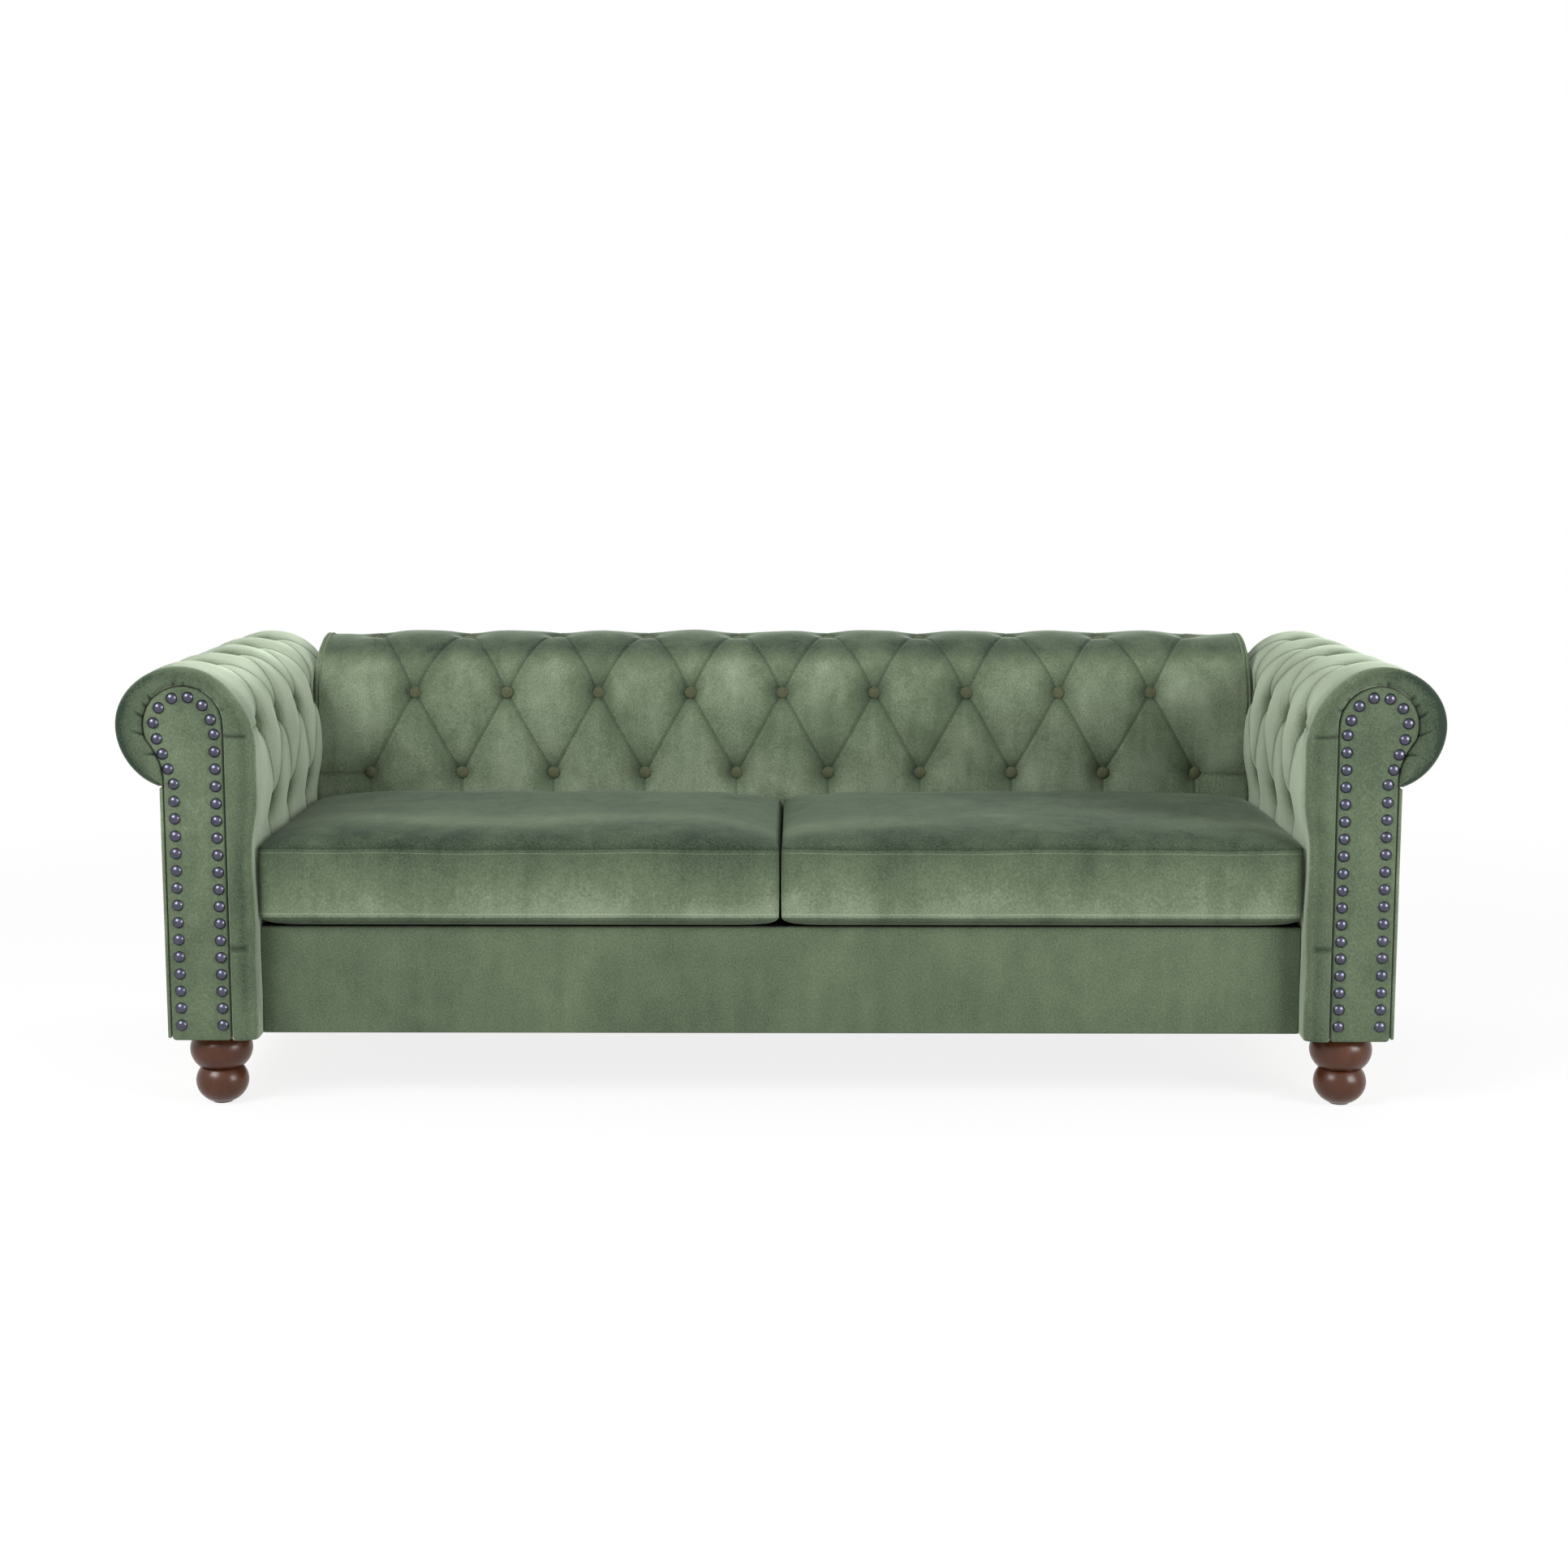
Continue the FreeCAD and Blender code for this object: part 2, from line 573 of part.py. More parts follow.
def tuft_outline(mix, roll_at, pleat, seat_face, bottom, button_depth, inset):
    """Corners and arc middles of the soft face, from its foot over the roll to its neck."""
    roll = size("roll_radius") - inset
    centre_z = size("roll_z")
    upper, lower = size("upper_row_z"), size("lower_row_z")
    sink, puff = size("crest_sink"), size("puff_rise")
    seat_line = size("seat_line_z")
    deep = pleat - (1 - button_depth) * (puff - 1) + inset
    face = seat_face + inset
    full = pleat - puff + inset
    crest_at = roll_at - size("crest_setback")
    top = centre_z + roll
    turn = math.radians(45)
    at_upper = [
        (face, bottom), (face, seat_line), (deep, upper - 8), (deep, upper - 3),
        (deep, upper), (deep, upper + 3), (deep, upper + 8),
        (crest_at, top), (roll_at + roll, centre_z),
        (roll_at + 0.33 * roll, centre_z - 0.944 * roll)]
    middles_upper = [
        None, (full, 0.5 * (seat_line + upper)), None, None, None, None,
        (roll_at - 0.765 * roll, centre_z + 0.70 * roll),
        (roll_at + 0.68 * roll, centre_z + 0.735 * roll),
        (roll_at + 0.82 * roll, centre_z - 0.572 * roll)]
    at_lower = [
        (face, bottom), (face + 4, seat_line), (deep, lower - BUTTON_SEAT),
        (deep, lower + BUTTON_SEAT), (full + 1, upper + 10),
        (crest_at - BUTTON_SEAT, top - sink), (crest_at + BUTTON_SEAT, top - sink),
        (roll_at + 0.30 * roll, centre_z + 0.90 * roll), (roll_at + 0.96 * roll, centre_z),
        (roll_at + 0.33 * roll, centre_z - 0.944 * roll)]
    middles_lower = [
        None, (face + 2, 0.5 * (seat_line + lower)), None,
        (full, 0.5 * (lower + upper)),
        (roll_at - 0.83 * roll, centre_z + 0.70 * roll), None,
        (roll_at + 0.12 * roll, centre_z + 0.90 * roll),
        (roll_at + 0.70 * roll, centre_z + 0.65 * roll),
        (roll_at + 0.80 * roll, centre_z - 0.56 * roll)]
    halfway = 4 * mix * (1 - mix)
    ease = halfway * PLEAT_EASE * button_depth
    crest_ease = halfway * CREST_PLEAT_EASE * roll
    lifts = {1: TUFT_LIFT, 3: TUFT_LIFT, 4: LOWER_TUFT_LIFT}
    corners = []
    for index, (first, second) in enumerate(zip(at_upper, at_lower)):
        across = first[0] + (second[0] - first[0]) * mix
        height = first[1] + (second[1] - first[1]) * mix
        if 2 <= index <= 4:
            across -= ease
        if 5 <= index <= 6:
            across -= crest_ease
            height += crest_ease
        corners.append([across, height])
    middles = []
    for index, (first, second) in enumerate(zip(middles_upper, middles_lower)):
        chords = []
        for points, middle in ((at_upper, first), (at_lower, second)):
            flat = [0.5 * (points[index][axis] + points[index + 1][axis]) for axis in (0, 1)]
            chords.append([0, 0] if middle is None else [middle[0] - flat[0], middle[1] - flat[1]])
        lift = 1 + halfway * (lifts.get(index, 1) - 1)
        middles.append([
            0.5 * (corners[index][axis] + corners[index + 1][axis])
            + lift * (chords[0][axis] * (1 - mix) + chords[1][axis] * mix)
            for axis in (0, 1)])
    return corners, middles


def straight_enough(start, middle, end):
    chord = end - start
    return chord.Length < 8 or (middle - start).cross(chord).Length / chord.Length < 0.05


def pad_section(place, core_at, bottom, outline):
    """The closed wire of one section: the soft face outside, the frame's profile inside."""
    corners, middles = outline
    radius = size("head_radius") + size("fit_gap")
    head = core_at + size("head_radius")
    top = size("head_z")
    outer_points = [place(*corner) for corner in corners]
    middle_points = [place(*middle) for middle in middles]
    edges = []
    for index, middle in enumerate(middle_points):
        start, end = outer_points[index], outer_points[index + 1]
        straight = straight_enough(start, middle, end)
        edges.append(line(start, end) if straight else arc(start, middle, end))
    core_out = core_at + size("core_depth") + size("fit_gap")
    neck_height = corners[-1][1]
    neck = place(core_out, neck_height)
    angles = (-20, 35, 90, 135, 180)
    ring = [place(head + radius * math.cos(math.radians(angle)),
                  top + radius * math.sin(math.radians(angle))) for angle in angles]
    inner_foot = place(core_at - size("fit_gap"), bottom)
    edges += [
        line(outer_points[-1], neck), line(neck, ring[0]), arc(*ring[0:3]), arc(*ring[2:5]),
        line(ring[4], inner_foot), line(inner_foot, outer_points[0])]
    return Part.Wire(edges)


def stations(start, end, first_upper, pitch, upper_count):
    """Quarter points of the tuft pitch between two ends, each with its column mix."""
    found = []
    for step in range(-1, 4 * upper_count):
        place = first_upper + 0.25 * step * pitch
        mix = (0, 0.5, 1, 0.5)[step % 4]
        if start < place < end:
            found.append((place, mix))
    return found


# Arm padding: foam and velvet from the seat up the inner face, over the roll to its neck
arm_start = size("arm_button_start")
arm_uppers = int(size("arm_button_count"))
arm_span = size("pleat_y") - facing_y - arm_start - size("arm_button_margin")
arm_pitch = arm_span / (arm_uppers - 1)
arm_length = size("arm_rear_y") - facing_y
arm_bottom = size("foot_height")


def arm_section(depth, mix, button_depth, inset):
    outline = tuft_outline(mix, size("roll_x"), size("pleat_x"), size("arm_inner"), arm_bottom,
                           button_depth, inset)
    place = lambda across, height: Vector(LEFT * across, facing_y + depth, height)
    return pad_section(place, size("core_x"), arm_bottom, outline)


EDGE_ROUND = ((0.0, 16.0), (4.0, 8.0), (12.0, 2.0), (25.0, 0.0))
arm_wires = [arm_section(depth, 0, 0, inset) for depth, inset in EDGE_ROUND]
arm_wires.append(arm_section(0.62 * arm_start, 0, 0.25, 0))
for depth, mix in stations(arm_start - 1, arm_length - 30, arm_start, arm_pitch, arm_uppers + 2):
    arm_wires.append(arm_section(depth, mix, 1, 0))
arm_wires += [arm_section(arm_length - back, 0, 1, inset)
              for back, inset in ((14.0, 2.0), (5.0, 8.0), (0.0, 14.0))]
arm_loft = Part.makeLoft(arm_wires, True, True)


def button_shape(centre, direction):
    """A covered button: a disc with a domed face, its back at the centre point."""
    radius = size("button_radius")
    thick = size("button_thickness")
    disc = Part.makeCylinder(radius, thick, centre, direction)
    dome_radius = 1.7 * radius
    ball = Part.makeSphere(dome_radius, centre + direction * (thick - dome_radius))
    return disc.common(ball)


def button_well(centre, direction):
    return Part.makeCylinder(size("button_radius") + 0.8, 1.5 * size("arm_lining"),
                             centre - direction * size("fit_gap"), direction)


def arm_button_places():
    """Back of each button, and the way it faces, on the left arm."""
    face = Vector(1, 0, 0)
    found = []
    for index in range(arm_uppers):
        depth = facing_y + arm_start + index * arm_pitch
        found.append((Vector(-size("pleat_x") - 1, depth, size("upper_row_z")), face))
        middle = depth + 0.5 * arm_pitch
        if index < arm_uppers - 1:
            found.append((Vector(-size("pleat_x") - 1, middle, size("lower_row_z")), face))
        found.append((Vector(size("crest_setback") - size("roll_x"), middle,
                             size("sofa_height") - size("crest_sink") - 1), Vector(0, 0, 1)))
    return found


arm_buttons = [button_shape(centre, face) for centre, face in arm_button_places()]
arm_wells = [button_well(centre, face) for centre, face in arm_button_places()]
both_sides("arm_%s_buttons", feature("arm_buttons_shape", Part.makeCompound(arm_buttons)))

mount_start = size("front_rail_y") - size("fit_gap")
mount_space = Part.makeBox(
    2 * size("arm_lining"), size("arm_rear_y") - size("cover_thickness") - mount_start,
    size("seat_rail_z") + size("fit_gap") - arm_bottom + 5,
    Vector(-size("core_x") - 1, mount_start, arm_bottom - 5))
back_side = size("back_half") + size("fit_gap")
back_front = size("pleat_y") - TUFT_LIFT * size("puff_rise") - 1
back_space = Part.makeBox(
    size("arm_width"), size("sofa_depth"), size("sofa_height"), Vector(-back_side, back_front, arm_bottom - 5))
arm_pad = arm_loft.cut([mount_space, back_space] + arm_wells)
both_sides("arm_%s_pad", feature("arm_pad_shape", arm_pad))

# Back ribs: four profiles across the back, notched for the rails that run through them
RIB_PLACES = ("-seat_half", "-seat_half / 3", "seat_half / 3 - board_thickness",
              "seat_half - board_thickness")
BACK_RAILS = (
    ("head", "head_y - 20", "head_z - 25", "40", "50"),
    ("waist", "core_y + liner_thickness + 2 * fit_gap", "seat_deck_height + 20", "25", "60"),
    ("foot", "core_y + liner_thickness + 2 * fit_gap", "foot_height + 60", "25", "90"),
    ("rear", "core_rear_y - 25", "foot_height + 15", "24", "60"),
)
back_rails, notches = [], []
for label, low_y, low_z, deep, tall in BACK_RAILS:
    for kind, items in (("rail", back_rails), ("notch", notches)):
        items.append(block("back_%s_%s" % (kind, label), ("-seat_half", low_y, low_z),
                           ("2 * seat_half", deep, tall)))
under_liner = size("liner_thickness") + 2 * size("fit_gap")
ribs = [
    board("rib_blank_%d" % index, size("core_y"), size("foot_height") + 2, "YZ_Plane",
          "board_thickness", {"Placement_at_x": place}, under_liner)
    for index, place in enumerate(RIB_PLACES)]
rib_bore = rod("rib_bore", "x", ("-seat_half - 1", "back_bolt_y", "bolt_z"),
               "frame_bolt_radius + bolt_clearance", "2 * seat_half + 2")
node("back_ribs", cut("ribs", group("rib_blanks", ribs), notches + [rib_bore]))
BACK_BOLT_PLACES = ("-0.7 * back_half", "-0.25 * back_half", "0.25 * back_half",
                    "0.7 * back_half")
back_bolt_holes = [
    rod("back_hole_%d" % index, "y", (place, "core_y - 5", "back_bolt_z"),
        "nut_radius + bolt_clearance", "core_depth / 2")
    for index, place in enumerate(BACK_BOLT_PLACES)]
node("back_rails", cut("rails", group("rail_blanks", back_rails), back_bolt_holes))

# Back liner: hardboard over the ribs, between the padding and the frame
back_low = size("seat_deck_height") + 3
node("back_liner", feature("back_liner_shape", liner_shape(
    size("core_y"), back_low,
    lambda across, height: Vector(-size("back_half"), across, height),
    Vector(2 * size("back_half"), 0, 0))))

# Back padding
back_half = size("back_half")
back_lowers = int(size("back_button_count"))
back_pitch = 2 * (back_half - size("back_button_margin")) / (back_lowers - 1)


def back_section(across, mix, inset):
    seat_face = size("pleat_y") - size("back_seat_fill")
    outline = tuft_outline(mix, size("roll_y"), size("pleat_y"), seat_face, back_low, 1, inset)
    place = lambda deep, height: Vector(across, deep, height)
    return pad_section(place, size("core_y"), back_low, outline)


back_first_upper = -0.5 * (back_lowers - 2) * back_pitch
back_ends = ((0.0, 8.0), (4.0, 3.0), (14.0, 0.0))
back_wires = [back_section(-back_half + edge, 1, inset) for edge, inset in back_ends]
for place, mix in stations(-back_half + 70, back_half - 70, back_first_upper - back_pitch,
                           back_pitch, back_lowers + 2):
    back_wires.append(back_section(place, mix, 0))
back_wires += [back_section(back_half - edge, 1, inset) for edge, inset in reversed(back_ends)]
back_loft = Part.makeLoft(back_wires, True, True)


def back_button_places():
    """Back of each button, and the way it faces, on the sofa's back."""
    face = Vector(0, -1, 0)
    found = []
    for index in range(back_lowers):
        across = -0.5 * (back_lowers - 1) * back_pitch + index * back_pitch
        found.append((Vector(across, size("pleat_y") + 1, size("lower_row_z")), face))
        found.append((Vector(across, size("roll_y") - size("crest_setback"),
                             size("sofa_height") - size("crest_sink") - 1), Vector(0, 0, 1)))
        if index < back_lowers - 1:
            found.append((Vector(across + 0.5 * back_pitch, size("pleat_y") + 1,
                                 size("upper_row_z")), face))
    return found


back_buttons = [button_shape(centre, face) for centre, face in back_button_places()]
back_wells = [button_well(centre, face) for centre, face in back_button_places()]
node("back_buttons", feature("back_buttons_shape", Part.makeCompound(back_buttons)))
node("back_pad", feature("back_pad_shape", back_loft.cut(back_wells)))

# Back's outer cover: velvet over hardboard below the roll
node("back_outer_cover", fuse("back_outer", [
    block("back_outer_low", ("-seat_half", "core_rear_y + fit_gap", "foot_height + 2"),
          ("2 * seat_half", "cover_thickness", "seat_rail_z - foot_height")),
    block("back_outer_high", ("-back_half", "core_rear_y + fit_gap", "seat_rail_z + 2"),
          ("2 * back_half", "cover_thickness", "roll_z - 0.96 * roll_radius - seat_rail_z - 2")),
]))

# Seat frame: a box of timber rails with cross rails and corner blocks
SEAT_SPAN = "2 * seat_half"
RAIL_HEIGHT = "seat_rail_z - seat_bottom_z"
node("seat_front_rail", block(
    "front_rail", ("-seat_half", "front_rail_y", "seat_bottom_z"),
    (SEAT_SPAN, "seat_rail_thickness", RAIL_HEIGHT)))
rear_rail = block("rear_rail_blank", ("-seat_half", "rear_rail_y", "seat_bottom_z"),
                  (SEAT_SPAN, "seat_rail_thickness", RAIL_HEIGHT))
rear_rail_holes = [
    rod("rear_hole_%d" % index, "y", (place, "rear_rail_y - 1", "back_bolt_z"),
        "frame_bolt_radius + bolt_clearance", "seat_rail_thickness + 2")
    for index, place in enumerate(BACK_BOLT_PLACES)]
node("seat_rear_rail", cut("rear_rail", rear_rail, rear_rail_holes))
side_rails = []
for label, low in (("left", "-seat_half"), ("right", "side_rail_x")):
    blank = block("side_rail_blank_" + label, (low, "bay_start_y", "seat_bottom_z"),
                  ("seat_rail_thickness", "rear_rail_y - bay_start_y", RAIL_HEIGHT))
    bores = [rod("side_hole_%s_%d" % (label, index), "x", (low + " - 1", place, "bolt_z"),
                 "frame_bolt_radius + bolt_clearance", "seat_rail_thickness + 2")
             for index, place in enumerate(BOLT_PLACES[:3])]
    side_rails.append(cut("side_rail_" + label, blank, bores))
node("seat_side_rails", group("side_rails", side_rails))
node("seat_cross_rails", group("cross_rails", [
    block("cross_rail_%d" % index, (place, "bay_start_y", "seat_bottom_z"),
          ("seat_rail_thickness", "rear_rail_y - bay_start_y", "cross_rail_height"))
    for index, place in enumerate(("-seat_half / 3", "seat_half / 3 - seat_rail_thickness"))]))
corner_blocks = []
for across in ("-side_rail_x", "side_rail_x - corner_block_size"):
    for deep in ("bay_start_y", "rear_rail_y - corner_block_size"):
        corner_blocks.append(block(
            "corner_block_%d" % len(corner_blocks),
            (across, deep, "seat_bottom_z + corner_block_lift"),
            ("corner_block_size", "corner_block_size", "corner_block_height")))
node("seat_corner_blocks", group("corner_blocks", corner_blocks))

# Springs: zigzag steel wire from rail to rail, held by clips and steadied by tie wires
spring_total = int(size("spring_count"))
spring_pitch = 2 * size("side_rail_x") / spring_total
bend = size("spring_bend_radius")
half_width = size("spring_half_width")
clip_depth = 0.5 * size("seat_rail_thickness")
spring_start = size("front_rail_y") + clip_depth
spring_span = size("rear_rail_y") + clip_depth - spring_start
spring_runs = 2 * int(spring_span / (4 * bend))
bend = spring_span / (2 * spring_runs)
spring_z = size("spring_z")


def spring_shape(across):
    """One zigzag: runs across, joined by half turns of two quarter arcs each."""
    edges = []
    reach = half_width - bend
    for run in range(spring_runs + 1):
        side = 1 if run % 2 == 0 else -1
        deep = spring_start + 2 * bend * run
        start = Vector(across - side * reach, deep, spring_z)
        end = Vector(across + side * reach, deep, spring_z)
        edges.append(line(start, end))
        if run == spring_runs:
            break
        tip = Vector(end.x + side * bend, deep + bend, spring_z)
        far = Vector(end.x, deep + 2 * bend, spring_z)
        lean = side * bend * math.sin(math.radians(45))
        edges.append(arc(end, Vector(end.x + lean, deep + bend - abs(lean), spring_z), tip))
        edges.append(arc(tip, Vector(end.x + lean, deep + bend + abs(lean), spring_z), far))
    path = Part.Wire(edges)
    circle = Part.Wire(Part.makeCircle(
        size("spring_wire_radius"), path.Edges[0].valueAt(path.Edges[0].FirstParameter),
        Vector(1, 0, 0)))
    return path.makePipeShell([circle], True, False)


first_spring = -size("side_rail_x") + 0.5 * spring_pitch
one_spring = spring_shape(first_spring)
node("seat_springs", feature("springs_shape", Part.makeCompound([
    one_spring.translated(Vector(index * spring_pitch, 0, 0))
    for index in range(spring_total)])))


def clip_shape(across, deep):
    """A clip plate on the rail with the spring's end run through its eye."""
    wide, long = size("clip_width"), size("clip_depth")
    plate = Part.makeBox(wide, long, size("clip_height"),
                         Vector(across - 0.5 * wide, deep - 0.5 * long, size("seat_rail_z")))
    eye = Part.makeCylinder(size("spring_wire_radius") + 0.15, 2 * wide,
                            Vector(across - wide, deep, spring_z), Vector(1, 0, 0))
    return plate.cut(eye)


clips = []
for index in range(spring_total):
    across = first_spring + index * spring_pitch
    clips.append(clip_shape(across, spring_start))
    clips.append(clip_shape(across, spring_start + spring_span))
node("seat_spring_clips", feature("clips_shape", Part.makeCompound(clips)))
node("seat_tie_wires", group("tie_wires", [
    rod("tie_wire_%d" % index, "x",
        ("-side_rail_x", "bay_start_y + %s * (rear_rail_y - bay_start_y)" % share,
         "spring_z - spring_wire_radius - tie_wire_radius - 0.1"),
        "tie_wire_radius", "2 * side_rail_x")
    for index, share in enumerate(("0.34", "0.66"))]))

# Deck: felt over the springs, then a thin foam and cloth deck, a velvet front and an
# underside of black cloth
node("seat_deck_felt", block(
    "deck_felt", ("-seat_half + 2", "front_rail_y", "felt_z"),
    ("2 * seat_half - 4", "seat_rear_y - front_rail_y", "felt_thickness")))
node("seat_deck_pad", block(
    "deck_pad", ("-seat_half + 1", "front_rail_y", "felt_z + felt_thickness + fit_gap"),
    ("2 * seat_half - 2", "seat_rear_y - front_rail_y",
     "seat_deck_height - felt_z - felt_thickness - fit_gap")))
node("seat_front_cover", block(
    "front_cover", ("-seat_half", "seat_front_y", "foot_height"),
    (SEAT_SPAN, "front_cover_thickness", "seat_deck_height - foot_height")))
node("seat_dust_cover", block(
    "dust_cover", ("-seat_half + 2", "front_rail_y", "foot_height"),
    ("2 * seat_half - 4", "core_rear_y - front_rail_y", "dust_cover_thickness")))

# Frame bolts: the arms and the back are bolted to the seat, through its side and rear rails
bolts, bolt_nuts = [], []
for side, label in ((-1, "left"), (1, "right")):
    for index, place in enumerate(BOLT_PLACES):
        inner = "side_rail_x" if index < 3 else "(seat_half - board_thickness)"
        name = "%s_%d" % (label, index)
        reach = "core_x - %s - 6" % inner
        start = inner if side > 0 else "-%s - (%s)" % (inner, reach)
        head = "%s - frame_bolt_head_height" % inner if side > 0 else "-%s" % inner
        shaft = rod("shaft_" + name, "x", (start, place, "bolt_z"), "frame_bolt_radius", reach)
        cap = rod("cap_" + name, "x", (head, place, "bolt_z"), "frame_bolt_head_radius",
                  "frame_bolt_head_height")
        bolts.append(fuse("bolt_" + name, [shaft, cap]))
        nut_start = "core_x - fit_gap - frame_nut_length" if side > 0 else "-core_x + fit_gap"
        nut = rod("insert_" + name, "x", (nut_start, place, "bolt_z"), "nut_radius",
                  "frame_nut_length")
        thread = rod("insert_thread_" + name, "x", (nut_start + " - 1", place, "bolt_z"),
                     "frame_bolt_radius + bolt_clearance", "frame_nut_length + 2")
        bolt_nuts.append(cut("insert_nut_" + name, nut, [thread]))
for index, place in enumerate(BACK_BOLT_PLACES):
    name = "back_%d" % index
    shaft = rod("shaft_" + name, "y", (place, "rear_rail_y", "back_bolt_z"),
                "frame_bolt_radius", "core_y - rear_rail_y + 24")
    cap = rod("cap_" + name, "y", (place, "rear_rail_y - frame_bolt_head_height", "back_bolt_z"),
              "frame_bolt_head_radius", "frame_bolt_head_height")
    bolts.append(fuse("bolt_" + name, [shaft, cap]))
    nut = rod("insert_" + name, "y",
              (place, "core_y + liner_thickness + 2 * fit_gap + 2", "back_bolt_z"),
              "nut_radius", "frame_nut_length")
    thread = rod("insert_thread_" + name, "y",
                 (place, "core_y + liner_thickness + 2 * fit_gap + 1", "back_bolt_z"),
                 "frame_bolt_radius + bolt_clearance", "frame_nut_length + 2")
    bolt_nuts.append(cut("insert_nut_" + name, nut, [thread]))
node("frame_bolts", group("all_bolts", bolts))
node("frame_bolt_nuts", group("all_inserts", bolt_nuts))


# Cushions: a velvet cover with a zip behind, a foam core, and a slider on the zip
CUSHION_STATIONS = (
    (0.0, 0.05, 0.9), (0.022, 0.45, 0.3), (0.09, 0.72, 0.0), (0.22, 0.92, 0.0),
    (0.5, 1.0, 0.0), (0.78, 0.92, 0.0), (0.91, 0.72, 0.0), (0.978, 0.45, 0.3),
    (1.0, 0.05, 0.9))
SHOULDER = 70.0                 # edge of the cushion to where its top flattens
TOP_ROUND = 30.0
UNDER_ROUND = 22.0
SIDE_BULGE = 3.0


def cushion_section(centre, deep, share, crown_share, lift_share, inset):
    """A closed outline: flat underside, boxed sides, and a crown between the seams."""
    draw = size("cushion_draw") * 4 * share * (1 - share)
    half = size("cushion_half") - SIDE_BULGE - draw - inset
    low, high = size("lower_seam_z"), size("upper_seam_z") - 0.5 * inset
    floor_z = size("cushion_bottom_z") + size("cushion_under_crown") * lift_share + inset
    crown = size("cushion_crown") * crown_share - 0.5 * inset
    crown = max(crown, 0.6)
    low = max(low + 0.4 * inset, floor_z + 0.8)
    under, over = floor_z + 0.46 * (low - floor_z), high + 0.47 * crown
    at = lambda across, height: Vector(centre + across, deep, height)
    run = half - SHOULDER
    edges = [
        line(at(-run, floor_z), at(run, floor_z)),
        arc(at(run, floor_z), at(half - UNDER_ROUND, under), at(half, low)),
        arc(at(half, low), at(half + SIDE_BULGE, 0.5 * (low + high)), at(half, high)),
        arc(at(half, high), at(half - TOP_ROUND, over), at(run, high + 0.76 * crown)),
        arc(at(run, high + 0.76 * crown), at(0, high + crown), at(-run, high + 0.76 * crown)),
        arc(at(-run, high + 0.76 * crown), at(TOP_ROUND - half, over), at(-half, high)),
        arc(at(-half, high), at(-half - SIDE_BULGE, 0.5 * (low + high)), at(-half, low)),
        arc(at(-half, low), at(UNDER_ROUND - half, under), at(-run, floor_z)),
    ]
    return Part.Wire(edges)


def cushion_solid(centre, inset):
    front, rear = size("cushion_front_y") + inset, size("cushion_rear_y") - inset
    wires = [cushion_section(centre, front + share * (rear - front), share, crown, lift, inset)
             for share, crown, lift in CUSHION_STATIONS]
    return Part.makeLoft(wires, True, True)


def cushion_parts(label, side):
    centre = side * size("cushion_x")
    skin = size("cushion_skin")
    rear = size("cushion_rear_y")
    zip_long, zip_tall, zip_z = size("zip_length"), size("zip_height"), size("zip_z")
    slot = Part.makeBox(zip_long, skin + 2, zip_tall,
                        Vector(centre - 0.5 * zip_long, rear - skin - 1, zip_z - 0.5 * zip_tall))
    cover = cushion_solid(centre, 0).cut([cushion_solid(centre, skin), slot])
    core = cushion_solid(centre, skin + 0.4)
    teeth = Part.makeBox(zip_long - 0.4, skin - 0.4, zip_tall - 0.4,
                         Vector(centre - 0.5 * zip_long + 0.2, rear - skin + 0.2,
                                zip_z - 0.5 * zip_tall + 0.2))
    slide_long, slide_tall = size("zip_slider_length"), size("zip_slider_height")
    slide_thick = size("zip_slider_thickness")
    begin = centre - 0.5 * zip_long + 4
    wing = Part.makeBox(slide_long, slide_thick, slide_tall,
                        Vector(begin, rear + 0.2, zip_z - 0.5 * slide_tall))
    pull_wide, pull_long = size("zip_pull_width"), size("zip_pull_length")
    pull = Part.makeBox(pull_wide, size("zip_pull_thickness"), pull_long,
                        Vector(begin + 0.5 * (slide_long - pull_wide),
                               rear + slide_thick - 0.6, zip_z - pull_long))
    node("cushion_%s_cover" % label, feature("cover_" + label, cover))
    node("cushion_%s_core" % label, feature("core_" + label, core))
    node("cushion_%s_zip" % label, feature("zip_" + label, teeth))
    node("cushion_%s_zip_slider" % label, feature("slider_" + label, wing.fuse(pull)))


cushion_parts("left", -1)
cushion_parts("right", 1)

doc.recompute()

# Each piece is valid before anything is written
for item in doc.Objects:
    if "Invalid" in item.State or "Error" in item.State:
        raise RuntimeError("failed: %s %s" % (item.Name, item.State))
os.makedirs("parts", exist_ok=True)
for item in nodes:
    if item.Shape.isNull() or not item.Shape.isValid() or not item.Shape.Solids:
        raise RuntimeError("bad shape: " + item.Label)
for item in nodes:
    item.Shape.exportStep("parts/%s.step" % item.Label)
whole = Part.makeCompound([item.Shape for item in nodes]).BoundBox
print("nodes", len(nodes), "box", whole)
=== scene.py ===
import bisect
import math

import bmesh
import bpy
from mathutils import Matrix, Vector


